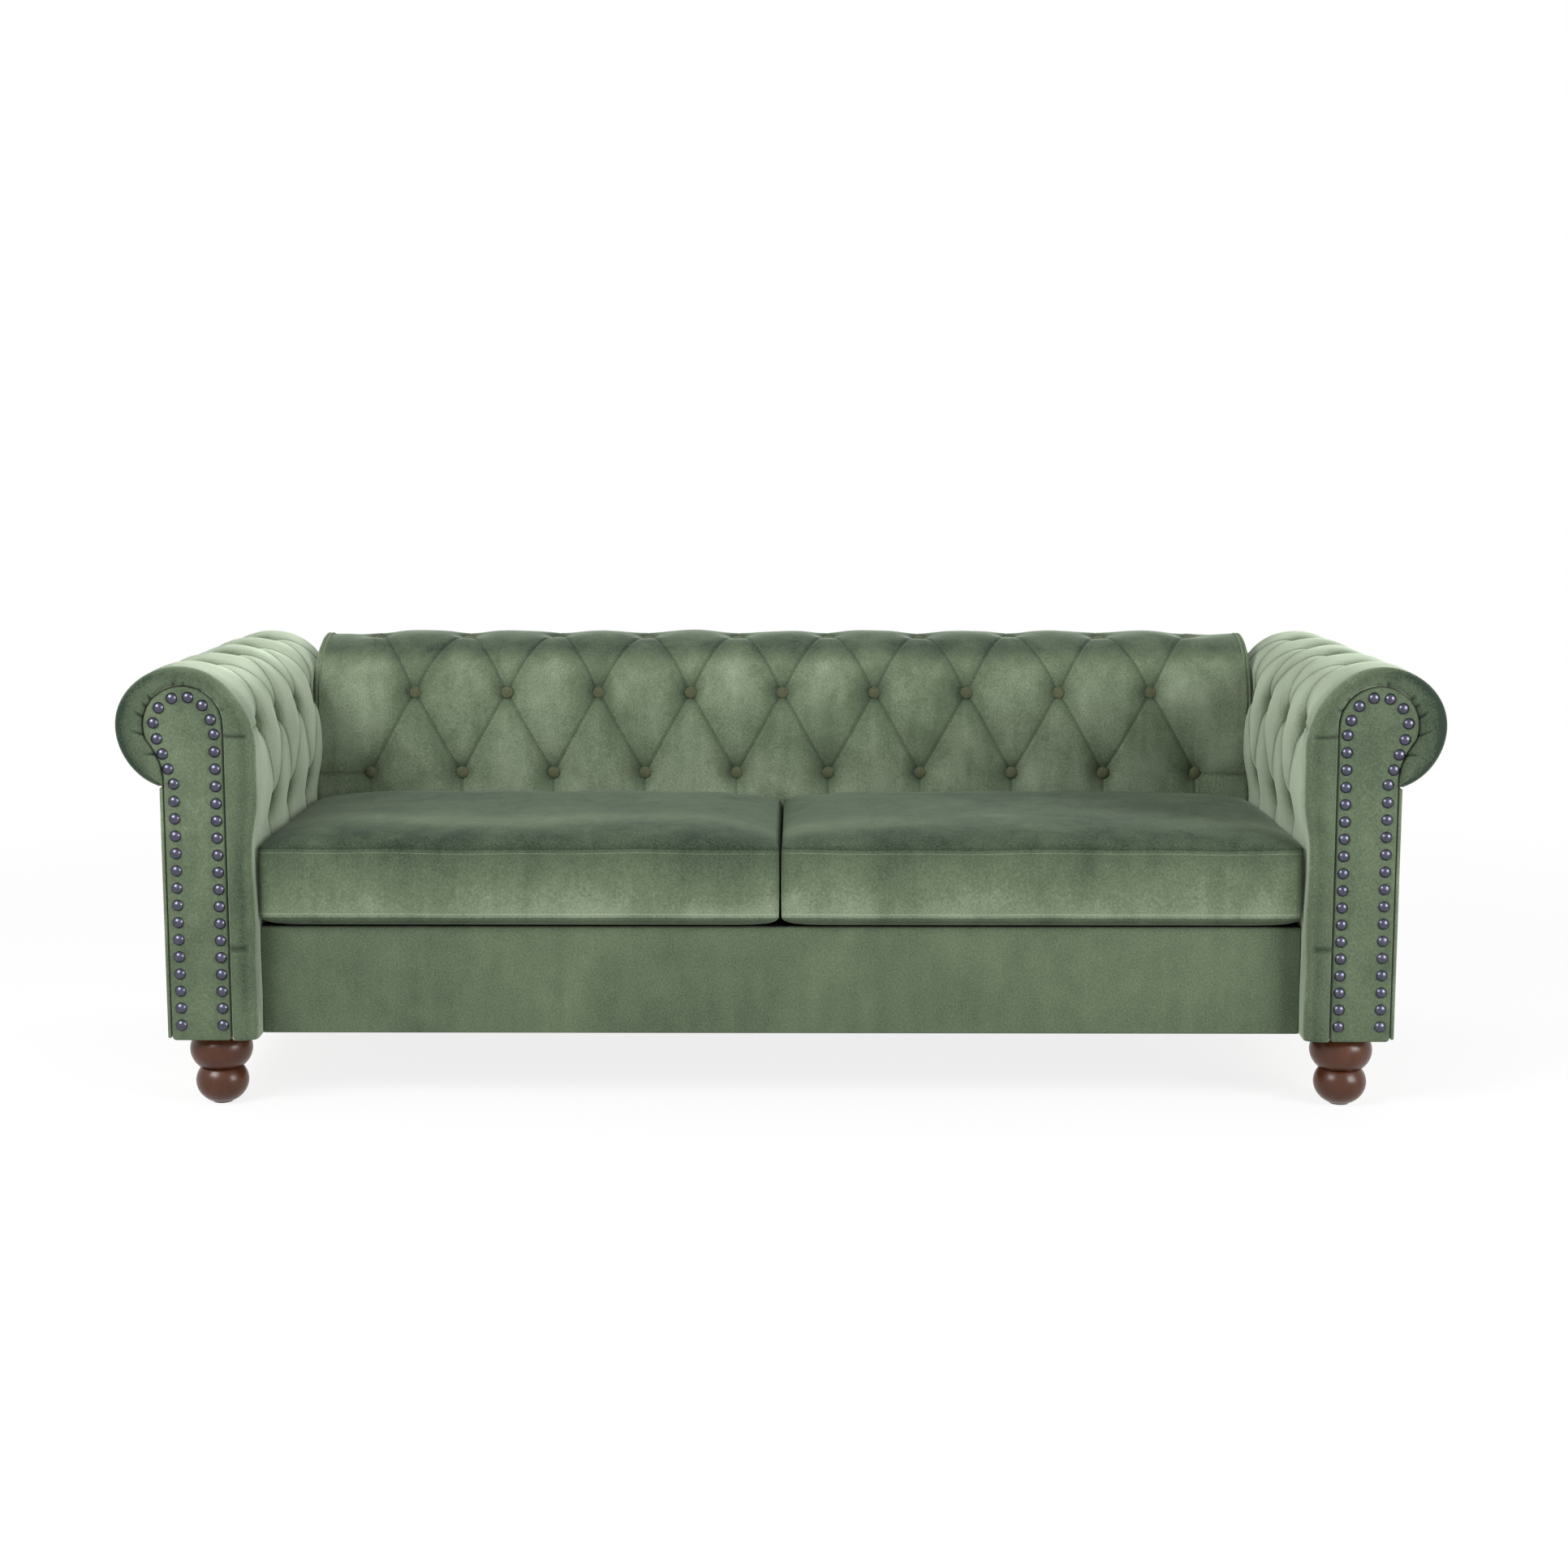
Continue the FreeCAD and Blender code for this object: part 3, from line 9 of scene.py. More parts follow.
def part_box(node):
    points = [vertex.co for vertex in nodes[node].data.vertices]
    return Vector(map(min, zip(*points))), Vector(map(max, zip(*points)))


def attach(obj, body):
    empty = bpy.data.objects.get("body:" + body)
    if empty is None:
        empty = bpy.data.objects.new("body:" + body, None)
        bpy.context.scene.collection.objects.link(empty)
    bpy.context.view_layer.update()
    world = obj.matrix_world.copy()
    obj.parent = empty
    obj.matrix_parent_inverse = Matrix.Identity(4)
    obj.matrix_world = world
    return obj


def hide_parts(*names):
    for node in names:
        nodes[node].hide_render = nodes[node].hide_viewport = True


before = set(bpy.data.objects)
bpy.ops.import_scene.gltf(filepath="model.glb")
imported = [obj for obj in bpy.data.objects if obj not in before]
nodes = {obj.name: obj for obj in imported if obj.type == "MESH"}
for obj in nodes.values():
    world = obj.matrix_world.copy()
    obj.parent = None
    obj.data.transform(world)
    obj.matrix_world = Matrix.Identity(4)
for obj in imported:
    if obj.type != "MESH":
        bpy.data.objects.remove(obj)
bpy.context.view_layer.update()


# Camera. A 57 mm lens at standing height, 4.4 m in front of the sofa and tipped down
# eight degrees, which keeps the front square and shows the tops of the seat cushions.
CAMERA_PLACE = Vector((0.0316, -4.413, 1.1193))
CAMERA_TIP = math.radians(90 - 8.16)
CAMERA_SWING = math.radians(0.36)

lens = bpy.data.cameras.new("camera")
lens.lens = 57.38
lens.sensor_width = 36.0
camera = bpy.data.objects.new("camera", lens)
camera.location = CAMERA_PLACE
camera.rotation_euler = (CAMERA_TIP, 0.0, CAMERA_SWING)
bpy.context.scene.collection.objects.link(camera)
bpy.context.scene.camera = camera
bpy.context.scene.view_settings.view_transform = "Standard"


# Finishes. Each material is a principled shader whose colour, roughness and bump are
# worked out from object coordinates, so that a finish is fixed to its piece.
class Wire:
    """A shader socket that can be used in an expression."""

    def __init__(self, finish, socket):
        self.finish = finish
        self.socket = socket

    def maths(self, operation, first, second):
        return self.finish.add("Math", {"operation": operation}, {0: first, 1: second})

    def __add__(self, other):
        return self.maths("ADD", self, other)

    def __radd__(self, other):
        return self.maths("ADD", other, self)

    def __sub__(self, other):
        return self.maths("SUBTRACT", self, other)

    def __rsub__(self, other):
        return self.maths("SUBTRACT", other, self)

    def __mul__(self, other):
        return self.maths("MULTIPLY", self, other)

    def __rmul__(self, other):
        return self.maths("MULTIPLY", other, self)


class Finish:
    """One material and its nodes."""

    def __init__(self, name, **constants):
        self.material = bpy.data.materials.new(name)
        self.material.use_nodes = True
        self.tree = self.material.node_tree
        self.shader = self.tree.nodes["Principled BSDF"]
        for socket, value in constants.items():
            self.shader.inputs[socket.replace("_", " ")].default_value = value

    def add(self, kind, settings=None, sockets=None, out=0):
        """A node of that kind, its settings and stops first and then its sockets."""
        node = self.tree.nodes.new("ShaderNode" + kind)
        for key, value in (settings or {}).items():
            if key != "stops":
                setattr(node, key, value)
                continue
            while len(node.color_ramp.elements) < len(value):
                node.color_ramp.elements.new(0.5)
            for element, (position, colour) in zip(node.color_ramp.elements, value):
                element.position = position
                element.color = (*colour, 1.0)
        for key, value in (sockets or {}).items():
            self.feed(node.inputs[key], value)
        return Wire(self, node.outputs[out])

    def feed(self, socket, value):
        if isinstance(value, Wire):
            self.tree.links.new(value.socket, socket)
        elif isinstance(value, tuple) and socket.type == "RGBA":
            socket.default_value = (*value, 1.0)
        else:
            socket.default_value = value

    def drive(self, **wires):
        """Lead varying values to the shader's own sockets."""
        for socket, wire in wires.items():
            self.feed(self.shader.inputs[socket.replace("_", " ")], wire)
        return self

    def place(self, stretch=(1.0, 1.0, 1.0)):
        """The piece's own coordinates in metres, stretched along each axis."""
        where = self.add("TexCoord", out=3)
        return self.add("Mapping", {}, {0: where, 3: Vector(stretch)})

    def noise(self, scale, detail=3.0, distortion=0.0, stretch=(1.0, 1.0, 1.0)):
        sockets = {"Vector": self.place(stretch), "Scale": scale, "Detail": detail,
                   "Distortion": distortion}
        return self.add("TexNoise", {}, sockets)

    def ramp(self, value, *stops):
        return self.add("ValToRGB", {"stops": stops}, {0: value})

    def mix(self, share, first, second):
        return self.add("Mix", {"data_type": "RGBA"}, {0: share, 6: first, 7: second}, out=2)

    def within(self, value, low, high):
        """The value scaled so that low is 0 and high is 1, and held between them."""
        sockets = {0: value, 1: low, 2: high}
        return self.add("MapRange", {"clamp": True}, sockets)

    def bump(self, height, strength, distance):
        sockets = {"Strength": strength, "Distance": distance, "Height": height}
        return self.drive(Normal=self.add("Bump", {}, sockets))


def dress(finish, *names):
    """Give a finish to nodes of the construction that are shown as they are."""
    for name in names:
        nodes[name].data.materials.clear()
        nodes[name].data.materials.append(finish.material)


# Feet. Four turned hardwood feet, each of two balls with a bead between them, stained
# walnut under a satin lacquer. A hanger bolt in the top screws into the arm's base.
FOOT_DARK = (0.045, 0.012, 0.004)
FOOT_WARM = (0.072, 0.024, 0.009)
FOOT_TURNS = 64

walnut = Finish("walnut stain", Roughness=0.34, Specular_IOR_Level=0.3, Coat_Weight=0.08,
                Coat_Roughness=0.2)
grain = walnut.noise(9.0, 6.0, 1.2, (3.0, 3.0, 0.55))
pores = walnut.noise(160.0, 4.0, 0.0, (1.0, 1.0, 0.12))
walnut.drive(
    Base_Color=walnut.ramp(grain * 0.8 + pores * 0.25, (0.3, FOOT_DARK), (0.72, FOOT_WARM)),
    Roughness=walnut.within(pores, 0.2, 0.9) * 0.14 + 0.26)
walnut.bump(pores, 0.12, 0.0004)


def finish_mesh(name, mesh, finish, smooth=True):
    """A shown piece from a bmesh, with its normals outward."""
    bmesh.ops.recalc_face_normals(mesh, faces=mesh.faces)
    data = bpy.data.meshes.new(name)
    for face in mesh.faces:
        face.smooth = smooth
    mesh.to_mesh(data)
    mesh.free()
    data.materials.append(finish.material)
    piece = bpy.data.objects.new(name, data)
    bpy.context.scene.collection.objects.link(piece)
    return piece


def fit(piece, slot, body, *replaced):
    """The piece rides on its body and stands for its nodes, hiding them; slot is not used."""
    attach(piece, body)
    if replaced:
        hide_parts(*replaced)
    return piece


def arc_points(centre, radius, start, end, count):
    """Points on an arc, angles in degrees; radius may be a pair, for an ellipse."""
    wide, tall = radius if isinstance(radius, tuple) else (radius, radius)
    points = []
    for index in range(count + 1):
        turn = math.radians(start + (end - start) * index / count)
        points.append((centre[0] + wide * math.cos(turn), centre[1] + tall * math.sin(turn)))
    return points


def turned(profile, centre, turns):
    """A solid of revolution about an upright axis, from its profile of radius and height."""
    mesh = bmesh.new()
    previous = None
    for radius, height in profile:
        vertex = mesh.verts.new((centre.x + radius, centre.y, height))
        if previous is not None:
            mesh.edges.new((previous, vertex))
        previous = vertex
    bmesh.ops.spin(mesh, geom=mesh.verts[:] + mesh.edges[:], cent=centre, axis=(0, 0, 1),
                   angle=math.tau, steps=turns, use_merge=True)
    bmesh.ops.remove_doubles(mesh, verts=mesh.verts, dist=1e-6)
    return mesh


def foot_profile(low, high):
    """Underside, lower ball, a fine bead in the groove, upper ball and top."""
    lower_radius, upper_radius = 0.0435, 0.0515
    lower_ball = arc_points((0.0, 0.037), (lower_radius, 0.0385), -62, 52, 14)
    upper_ball = arc_points((0.0, 0.092), (upper_radius, 0.0426), -42, 40, 14)
    bead_at = 0.5 * (lower_ball[-1][1] + upper_ball[0][1])
    bead = arc_points((0.0305, bead_at), 0.0022, -80, 80, 6)
    return [(0.0, low), (lower_ball[0][0] - 0.002, low)] + lower_ball + bead + upper_ball + [
        (upper_ball[-1][0], high), (0.0, high)]


for corner in ("front_left", "front_right", "rear_left", "rear_right"):
    node = "foot_" + corner
    low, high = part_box(node)
    centre = Vector((0.5 * (low.x + high.x), 0.5 * (low.y + high.y), 0.0))
    shape = turned(foot_profile(low.z, high.z), centre, FOOT_TURNS)
    fit(finish_mesh("turned_foot_" + corner, shape, walnut), "walnut_stain", "frame", node)

nylon = Finish("nylon glide", Roughness=0.5)
nylon.drive(Base_Color=nylon.mix(nylon.noise(300.0), (0.035, 0.03, 0.026), (0.07, 0.06, 0.052)))
dress(nylon, "foot_glides")


# Frame hardware. Zinc-plated hanger bolts, tee nuts, frame bolts and their nuts, and the
# seat's drawn-wire springs, clips and tie wires, with the dull bloom of plating.
zinc = Finish("zinc plate", Metallic=1.0, Roughness=0.4)
bloom = zinc.noise(220.0, 4.0)
zinc.drive(Base_Color=zinc.mix(bloom, (0.42, 0.43, 0.45), (0.66, 0.66, 0.64)),
           Roughness=bloom * 0.3 + 0.28)
dress(zinc, "foot_bolts", "foot_nuts", "frame_bolts", "frame_bolt_nuts", "seat_springs",
      "seat_spring_clips", "seat_tie_wires")


# Frame boards and rails. Profiled birch plywood and planed pine rails, raw inside the
# upholstery, with the plies and growth rings running along each length.
SIDES = (("left", -1), ("right", 1))

birch = Finish("birch plywood", Roughness=0.75)
plies = birch.noise(60.0, 5.0, 0.6, (1.0, 0.15, 1.0))
birch.drive(Base_Color=birch.mix(plies, (0.42, 0.29, 0.16), (0.66, 0.52, 0.34)))
birch.bump(plies, 0.1, 0.0004)
pine = Finish("planed pine", Roughness=0.7)
rings = pine.noise(22.0, 5.0, 1.5, (0.12, 0.12, 1.0))
pine.drive(Base_Color=pine.ramp(rings, (0.35, (0.42, 0.26, 0.11)), (0.65, (0.68, 0.5, 0.29))))
pine.bump(rings, 0.1, 0.0004)
hardboard = Finish("hardboard", Roughness=0.8)
fibres = hardboard.noise(500.0, 5.0)
hardboard.drive(Base_Color=hardboard.mix(fibres, (0.2, 0.12, 0.065), (0.38, 0.26, 0.15)))
hardboard.bump(fibres, 0.2, 0.0003)
dress(birch, "back_ribs", *["arm_%s_%s" % (side, board) for side, sign in SIDES
                            for board in ("front_board", "rear_board", "base_board")])
dress(pine, "back_rails", "seat_front_rail", "seat_rear_rail", "seat_side_rails",
      "seat_cross_rails", "seat_corner_blocks",
      *["arm_%s_%s" % (side, rail) for side, sign in SIDES
        for rail in ("rails", "mounting_rail")])
dress(hardboard, "back_liner", "arm_left_liner", "arm_right_liner")


# Velvet. A short dense pile in sage green, mottled between a pale and a deep green as
# the nap turns. Light and shade are painted into its colour: painted light and shade
# set point by point, and painted shade along pleats, seams and button rims.
SAGE = ((0.016, 0.028, 0.018), (0.096, 0.126, 0.076), (0.255, 0.305, 0.215))
OLIVE = ((0.012, 0.014, 0.008), (0.072, 0.08, 0.044), (0.18, 0.195, 0.115))
# Painted shade laid into pleats, seams and button rims.
PAINTED_SHADE_COLOUR = (0.008, 0.012, 0.007)


def velvet(name, lift=0.0, contrast=1.0, sheen=0.5, colours=SAGE):
    """The pile: a mottle of large and small turns of the nap, and a fine fibrous bump; painted
    light and shade and painted crease shade are laid over its colour.
    """
    finish = Finish(name, Roughness=0.85, Specular_IOR_Level=0.15, Sheen_Weight=sheen,
                    Sheen_Roughness=0.34, Sheen_Tint=(0.72, 0.84, 0.68, 1.0))
    large = finish.noise(4.5, 3.0, 0.9)
    small = finish.noise(24.0, 6.0, 0.8)
    fine = finish.noise(330.0, 3.0)
    # Painted light and shade, and painted crease shade, carried by the mesh's points.
    nap = finish.add("Attribute", {"attribute_name": "nap"}, out=2)
    pleat = finish.add("Attribute", {"attribute_name": "pleat"}, out=2)
    streaks = finish.noise(30.0, 4.0, 0.4, (1.0, 1.0, 0.22))
    turn = large * (0.55 * contrast) + small * (0.22 * contrast) + streaks * (0.3 * contrast)
    turn = turn + fine * 0.5 + nap + (0.25 + lift - 0.535 * contrast)
    pile = finish.ramp(turn, *zip((0.05, 0.5, 0.95), colours))
    finish.drive(Base_Color=finish.mix(pleat, pile, PAINTED_SHADE_COLOUR))
    pile_height = fine + finish.noise(90.0, 4.0) * 0.6
    return finish.bump(pile_height, 0.25, 0.0006)


sage_velvet = velvet("sage velvet")


# Tufted padding. Foam and velvet wrapped over the arms and the back and drawn down by
# buttons on twine, with a folded pleat along every line from button to button.
FULL_RISE = 0.600
SEAT_LINE = 0.436
UPPER_ROW = 0.632
LOWER_ROW = 0.480
ROLL_RADIUS = 0.100
ROLL_HEIGHT = 0.635
CREST_SETBACK = 0.012
NECK_ANGLE = -70.5
HEAD_RADIUS = 0.065
HEAD_HEIGHT = 0.640
CORE_DEPTH = 0.100
CREST_HEIGHT = ROLL_HEIGHT + ROLL_RADIUS
SEAT_EASE = 0.09
FACE_STEPS = 120
CELLS = 28


def ease(share):
    share = min(max(share, 0.0), 1.0)
    return share * share * (3.0 - 2.0 * share)


class Path:
    """A line of points that can be asked for the point at any length along it."""

    def __init__(self, points):
        self.points = [Vector(point) for point in points]
        self.lengths = [0.0]
        for first, second in zip(self.points, self.points[1:]):
            self.lengths.append(self.lengths[-1] + (second - first).length)
        self.total = self.lengths[-1]

    def reach(self, passed):
        """The length at which the first point passes the test."""
        return next(length for point, length in zip(self.points, self.lengths) if passed(point))

    def spot(self, length):
        """The point at that length and the way to its left."""
        index = min(max(bisect.bisect_left(self.lengths, length), 1), len(self.points) - 1)
        first, second = self.points[index - 1], self.points[index]
        share = (length - self.lengths[index - 1]) / (second - first).length
        run = self.points[min(index + 2, len(self.points) - 1)] - self.points[max(index - 3, 0)]
        run.normalize()
        return first.lerp(second, share), Vector((-run.y, run.x))


def head_outline(inner):
    """The round head of the frame's profile and its concave flare, from inside to outside."""
    head, outer = inner + HEAD_RADIUS, inner + CORE_DEPTH
    outline = arc_points((head, HEAD_HEIGHT), HEAD_RADIUS, 180, -20, 60)
    top, foot = outline[-1], (outer, HEAD_HEIGHT - 1.25 * HEAD_RADIUS)
    outline += [(top[0] + (foot[0] - top[0]) * (1 - (1 - share) ** 1.7),
                 top[1] + (foot[1] - top[1]) * share) for share in (0.2, 0.4, 0.6, 0.8, 1.0)]
    return outline


class Tufts:
    """The full outline of an arm's or the back's padding, and the frame behind it.

    The velvet stands at face below the seat line and at full above it, and rolls over
    roll_at; core is the face of the frame, and foot the padding's lowest height.
    """

    def __init__(self, face, full, roll_at, core, foot, first_cells, last_cells):
        heights = [foot + (FULL_RISE - foot) * index / FACE_STEPS for index in range(FACE_STEPS)]
        points = [(face + (full - face) * ease((height - SEAT_LINE) / SEAT_EASE), height)
                  for height in heights]
        points += arc_points((roll_at, FULL_RISE), (roll_at - full, CREST_HEIGHT - FULL_RISE),
                             180, 90, 80)
        points += arc_points((roll_at, ROLL_HEIGHT), ROLL_RADIUS, 90, NECK_ANGLE, 90)[1:]
        path = Path(points)
        self.lower = path.reach(lambda point: point.y >= LOWER_ROW)
        self.upper = path.reach(lambda point: point.y >= UPPER_ROW)
        self.crest = path.reach(lambda point: point.x >= roll_at - CREST_SETBACK)
        self.path = path
        side = path.reach(lambda point: point.y >= HEAD_HEIGHT)
        head = Path(head_outline(core) + [(core + CORE_DEPTH, points[-1][1])])
        stages = ((0.0, self.lower, first_cells), (self.lower, self.upper, CELLS),
                  (self.upper, self.crest, CELLS), (self.crest, path.total, last_cells))
        self.rows = [start + (end - start) * index / cells
                     for start, end, cells in stages for index in range(cells)] + [path.total]
        self.spots = [path.spot(length) for length in self.rows]
        self.core = [Vector((core, spot.y)) if length <= side
                     else head.spot((length - side) / (path.total - side) * head.total)[0]
                     for length, (spot, out) in zip(self.rows, self.spots)]


BUTTON_DRAW = 0.0175
BUTTON_REACH = 0.026
VALLEY_DRAW = 0.0016
VALLEY_REACH = 0.026
CREASE_DRAW = 0.0024
CREASE_REACH = 0.003


def drawn_in(point, buttons, pleats):
    """How deep the velvet is drawn in at a point, how far in a crease, and how much painted shade
    it takes from valleys and the button's dip.
    """
    near = min((point - button).length for button in buttons)
    valley = crease = 0.0
    for start, end, strength in pleats:
        run = end - start
        share = min(max((point - start).dot(run) / run.length_squared, 0.0), 1.0)
        away = (point - start - run * share).length
        strength *= 1.0 - 0.75 * share if start.x == end.x else 1.0
        valley = max(valley, strength * math.exp(-(away / VALLEY_REACH) ** 1.4))
        crease = max(crease, strength * max(0.0, 1.0 - away / CREASE_REACH))
    dip = math.exp(-(near / BUTTON_REACH) ** 1.25)
    return (BUTTON_DRAW * dip + VALLEY_DRAW * valley + CREASE_DRAW * crease, crease,
            0.25 * valley + dip * dip)


def tuft_draw(tufts, along, length, half, fall):
    """The draw inside a field of diamonds whose upper buttons are at multiples of 2 half."""
    away = abs((along + half) % (2 * half) - half)
    upper, lower = Vector((0.0, tufts.upper)), Vector((half, tufts.lower))
    crest = Vector((half, tufts.crest))
    return drawn_in(Vector((away, length)), (upper, lower, crest), (
        (upper, lower, 1.0), (upper, crest, 1.0), (lower, lower - Vector((0.0, fall)), 0.9),
        (crest, crest + Vector((0.0, 0.06)), 0.45)))


def wrinkle(first, second, phase):
    """Faint unevenness of the foam under the velvet."""
    return 0.0007 * (math.sin(23.0 * first + 9.0 * second + phase)
                     + math.sin(41.0 * second - 17.0 * first + 2.3 * phase)
                     + 0.6 * math.sin(67.0 * first + 31.0 * second + 4.1 * phase))


def shaped_grid(columns, rows, place):
    """A grid of cells, each point put where place(column, row) says, with its painted crease shade
    and its painted light and shade.
    """
    mesh = bmesh.new()
    bmesh.ops.create_grid(mesh, x_segments=columns, y_segments=rows, size=0.5)
    pleat = mesh.verts.layers.float.new("pleat")
    nap = mesh.verts.layers.float.new("nap")
    table = {}
    for vertex in mesh.verts:
        spot = (round((vertex.co.x + 0.5) * columns), round((vertex.co.y + 0.5) * rows))
        vertex.co, vertex[pleat], vertex[nap] = place(*spot)
        table[spot] = vertex
    return mesh, table


def closed_padding(columns, rows, place, lean, hollow=None):
    """A padding whose columns run right round it; hollow drops the cells it's true for.

    The velvet is painted lighter where it faces along lean and darker where it faces away: painted
    light and shade.
    """
    mesh, table = shaped_grid(columns, rows, place)
    pleat = mesh.verts.layers.float["pleat"]
    nap = mesh.verts.layers.float["nap"]
    for row in range(rows):
        mesh.faces.new((table[columns, row], table[0, row], table[0, row + 1],
                        table[columns, row + 1]))
    if hollow:
        spare = [face for face in mesh.faces if hollow(face.calc_center_median())]
        bmesh.ops.delete(mesh, geom=spare, context="FACES")
    for face in list(mesh.faces):
        depths = [vertex[pleat] for vertex in face.verts]
        if len(depths) == 4 and max(depths) > 0.3:
            first = 0 if depths[0] + depths[2] > depths[1] + depths[3] else 1
            bmesh.utils.face_split(face, face.verts[first], face.verts[first + 2])
    rim = [edge for edge in mesh.edges if edge.is_boundary]
    filled = bmesh.ops.holes_fill(mesh, edges=rim, sides=0)
    bmesh.ops.triangulate(mesh, faces=filled["faces"])
    bmesh.ops.recalc_face_normals(mesh, faces=mesh.faces)
    mesh.normal_update()
    for vertex in mesh.verts:
        vertex[nap] += lean.dot(vertex.normal)
    return mesh


# Arm padding. One tufted pad runs from the arm's foot up its inner face, over the roll to
# its neck, and turns the front and rear edges to meet the facing and the rear cover.
FACING_PLANE = -0.414
CORE_INNER = 0.900
CORE_OUTER = CORE_INNER + CORE_DEPTH
ARM_LENGTH = 0.768
ARM_PITCH = 0.157
ARM_FIRST = 0.095
ARM_FOOT = 0.120
EDGE_ROUND = 0.012
BACK_START = 0.572
BACK_END = 0.8685
RAIL_START = 0.058
RAIL_TOP = 0.2805
GATHER_TURNS = (157, 138, 116, 91, 80, 41, 27, 11, -14, -46)
BORDER_SEAMS = (0.275, 0.626)
BORDER_SWELL = 0.005
GATHER_DEPTH = 0.005
SEAM_DEPTH = 0.003
# The way towards which the arms' velvet is painted lighter: painted light.
ARM_PAINTED_LIGHT_WAY = Vector((0.0, 0.28, 0.04))

# The arms' velvet: a copy with a paler pale green, painted light standing for sheen on the inner
# faces.
ARM_SAGE_PAINTED_LIGHT = SAGE[:2] + ((0.3, 0.35, 0.255),)
arm_velvet = velvet("arm velvet", sheen=0.75, contrast=0.75, colours=ARM_SAGE_PAINTED_LIGHT)
arm_tufts = Tufts(0.860, 0.849, 0.975, CORE_INNER, ARM_FOOT, 45, 56)
head_turns = [math.degrees(math.atan2(spot.y - HEAD_HEIGHT, spot.x - CORE_INNER - HEAD_RADIUS))
              for spot in arm_tufts.core]
gather_rows = [min(range(46, len(head_turns)), key=lambda row: abs(head_turns[row] - turn))
               for turn in GATHER_TURNS]
seam_rows = [min(range(80), key=lambda row: abs(arm_tufts.spots[row][0].y - height))
             for height in BORDER_SEAMS]


def arm_columns():
    """Depth behind the facing, share of the way out from the frame, and inset, per column."""
    front = [(0.010, 0.0, 0.0), (0.0035, 0.01, 0.0), (0.0008, 0.05, 0.0)]
    front += [(0.0, share, EDGE_ROUND) for share in (0.13, 0.24, 0.36, 0.48, 0.6, 0.72, 0.86)]
    front += [(EDGE_ROUND * (1 - math.sin(turn)), 1.0, EDGE_ROUND * (1 - math.cos(turn)))
              for turn in (1.2, 0.9, 0.6, 0.3, 0.0)]
    step = 0.5 * ARM_PITCH / CELLS
    first = int((ARM_FIRST - EDGE_ROUND) / step)
    last = int((ARM_LENGTH - EDGE_ROUND - ARM_FIRST) / step)
    middle = [(ARM_FIRST + index * step, 1.0, 0.0) for index in range(-first, last + 1)]
    rear = [(ARM_LENGTH - depth, share, inset) for depth, share, inset in front]
    return front + middle + rear[::-1] + [(RAIL_START, 0.0, 0.0)]


ARM_COLUMNS = arm_columns()


def arm_draw(depth, length):
    """The draw of an arm's velvet at a depth and at a length along its section."""
    behind = depth - ARM_FIRST
    if behind >= 0:
        return tuft_draw(arm_tufts, behind, length, 0.5 * ARM_PITCH, 0.26)
    button = Vector((ARM_FIRST, arm_tufts.upper))
    start = Vector((EDGE_ROUND, arm_tufts.upper))
    draw, crease, valley = drawn_in(Vector((depth, length)), (button,), ((start, button, 0.8),))
    fade = ease((depth - 0.004) / 0.03)
    return draw * fade, crease * fade, valley * fade


def arm_point(column, row):
    """Place, painted crease shade, and painted light and shade of a point of the arm's velvet,
    border or inner side.
    """
    depth, share, inset = ARM_COLUMNS[column]
    spot, out = arm_tufts.spots[row]
    length = arm_tufts.rows[row]
    draw = crease = valley = 0.0
    if share == 1.0:
        draw, crease, valley = arm_draw(depth, length)
    edge = spot - out * (inset + draw - wrinkle(depth, length, 0.0))
    edge.x = max(edge.x, BACK_END) if depth > BACK_START else edge.x
    flat = arm_tufts.core[row].lerp(edge, share)
    deep = depth
    # Painted shade in the groove at the facing, in creases and valleys and beyond the crest;
    # painted light away from the front edge.
    shade = 0.8 if share < 0.02 else 0.4 * crease
    nap = 0.14 + 0.31 * ease(depth / 0.09) - 0.9 * valley
    nap -= 0.35 * ease((length - arm_tufts.crest + 0.03) / 0.1)
    if 0.0 < share < 1.0:
        swell = math.sin(math.pi * share ** 0.75)
        fold = (row in gather_rows) * max(0.0, 1.0 - share / (0.35 + 0.04 * (row % 7)))
        # Border: painted light and shade across it, painted shade in its gathers and seams, over
        # the crest and towards the rear.
        nap = 0.08 + 0.05 * math.sin(5.0 * share) - 0.2 * fold - 0.08 * (length > arm_tufts.crest)
        nap -= 0.4 * (depth > BACK_START)
        seam = float(row in seam_rows)
        push = BORDER_SWELL * swell - GATHER_DEPTH * fold - SEAM_DEPTH * seam
        deep += push if depth > 0.1 else -push
        shade = max(shade, 0.95 * fold, 0.7 * seam)
    return Vector((flat.x, FACING_PLANE + deep, flat.y)), shade, nap


def under_seat(centre):
    """Where the mounting rail takes the place of the arm's padding."""
    return centre.z < RAIL_TOP and centre.y > FACING_PLANE + RAIL_START


for side, sign in SIDES:
    shape = closed_padding(len(ARM_COLUMNS) - 1, len(arm_tufts.rows) - 1, arm_point, ARM_PAINTED_LIGHT_WAY,
                           under_seat)
    bmesh.ops.scale(shape, vec=(sign, 1, 1), verts=shape.verts)
    piece = finish_mesh("arm_%s_padding" % side, shape, arm_velvet)
    fit(piece, "green_velvet", "frame", "arm_%s_pad" % side)


# Back padding. The same tufts across the whole back, ten columns of buttons wide, with a
# plain drawn end beside each arm, closed by a double line of piping over the roll.
BACK_HALF = 0.867
BACK_PITCH = 0.170
BACK_CORE = 0.245
BACK_FOOT = 0.303
LAST_COLUMN = 0.765
# The way towards which the back's velvet is painted lighter: painted light.
BACK_PAINTED_LIGHT_WAY = Vector((-0.3, 0.0, -0.1))

back_tufts = Tufts(0.172, 0.171, 0.320, BACK_CORE, BACK_FOOT, 30, 32)


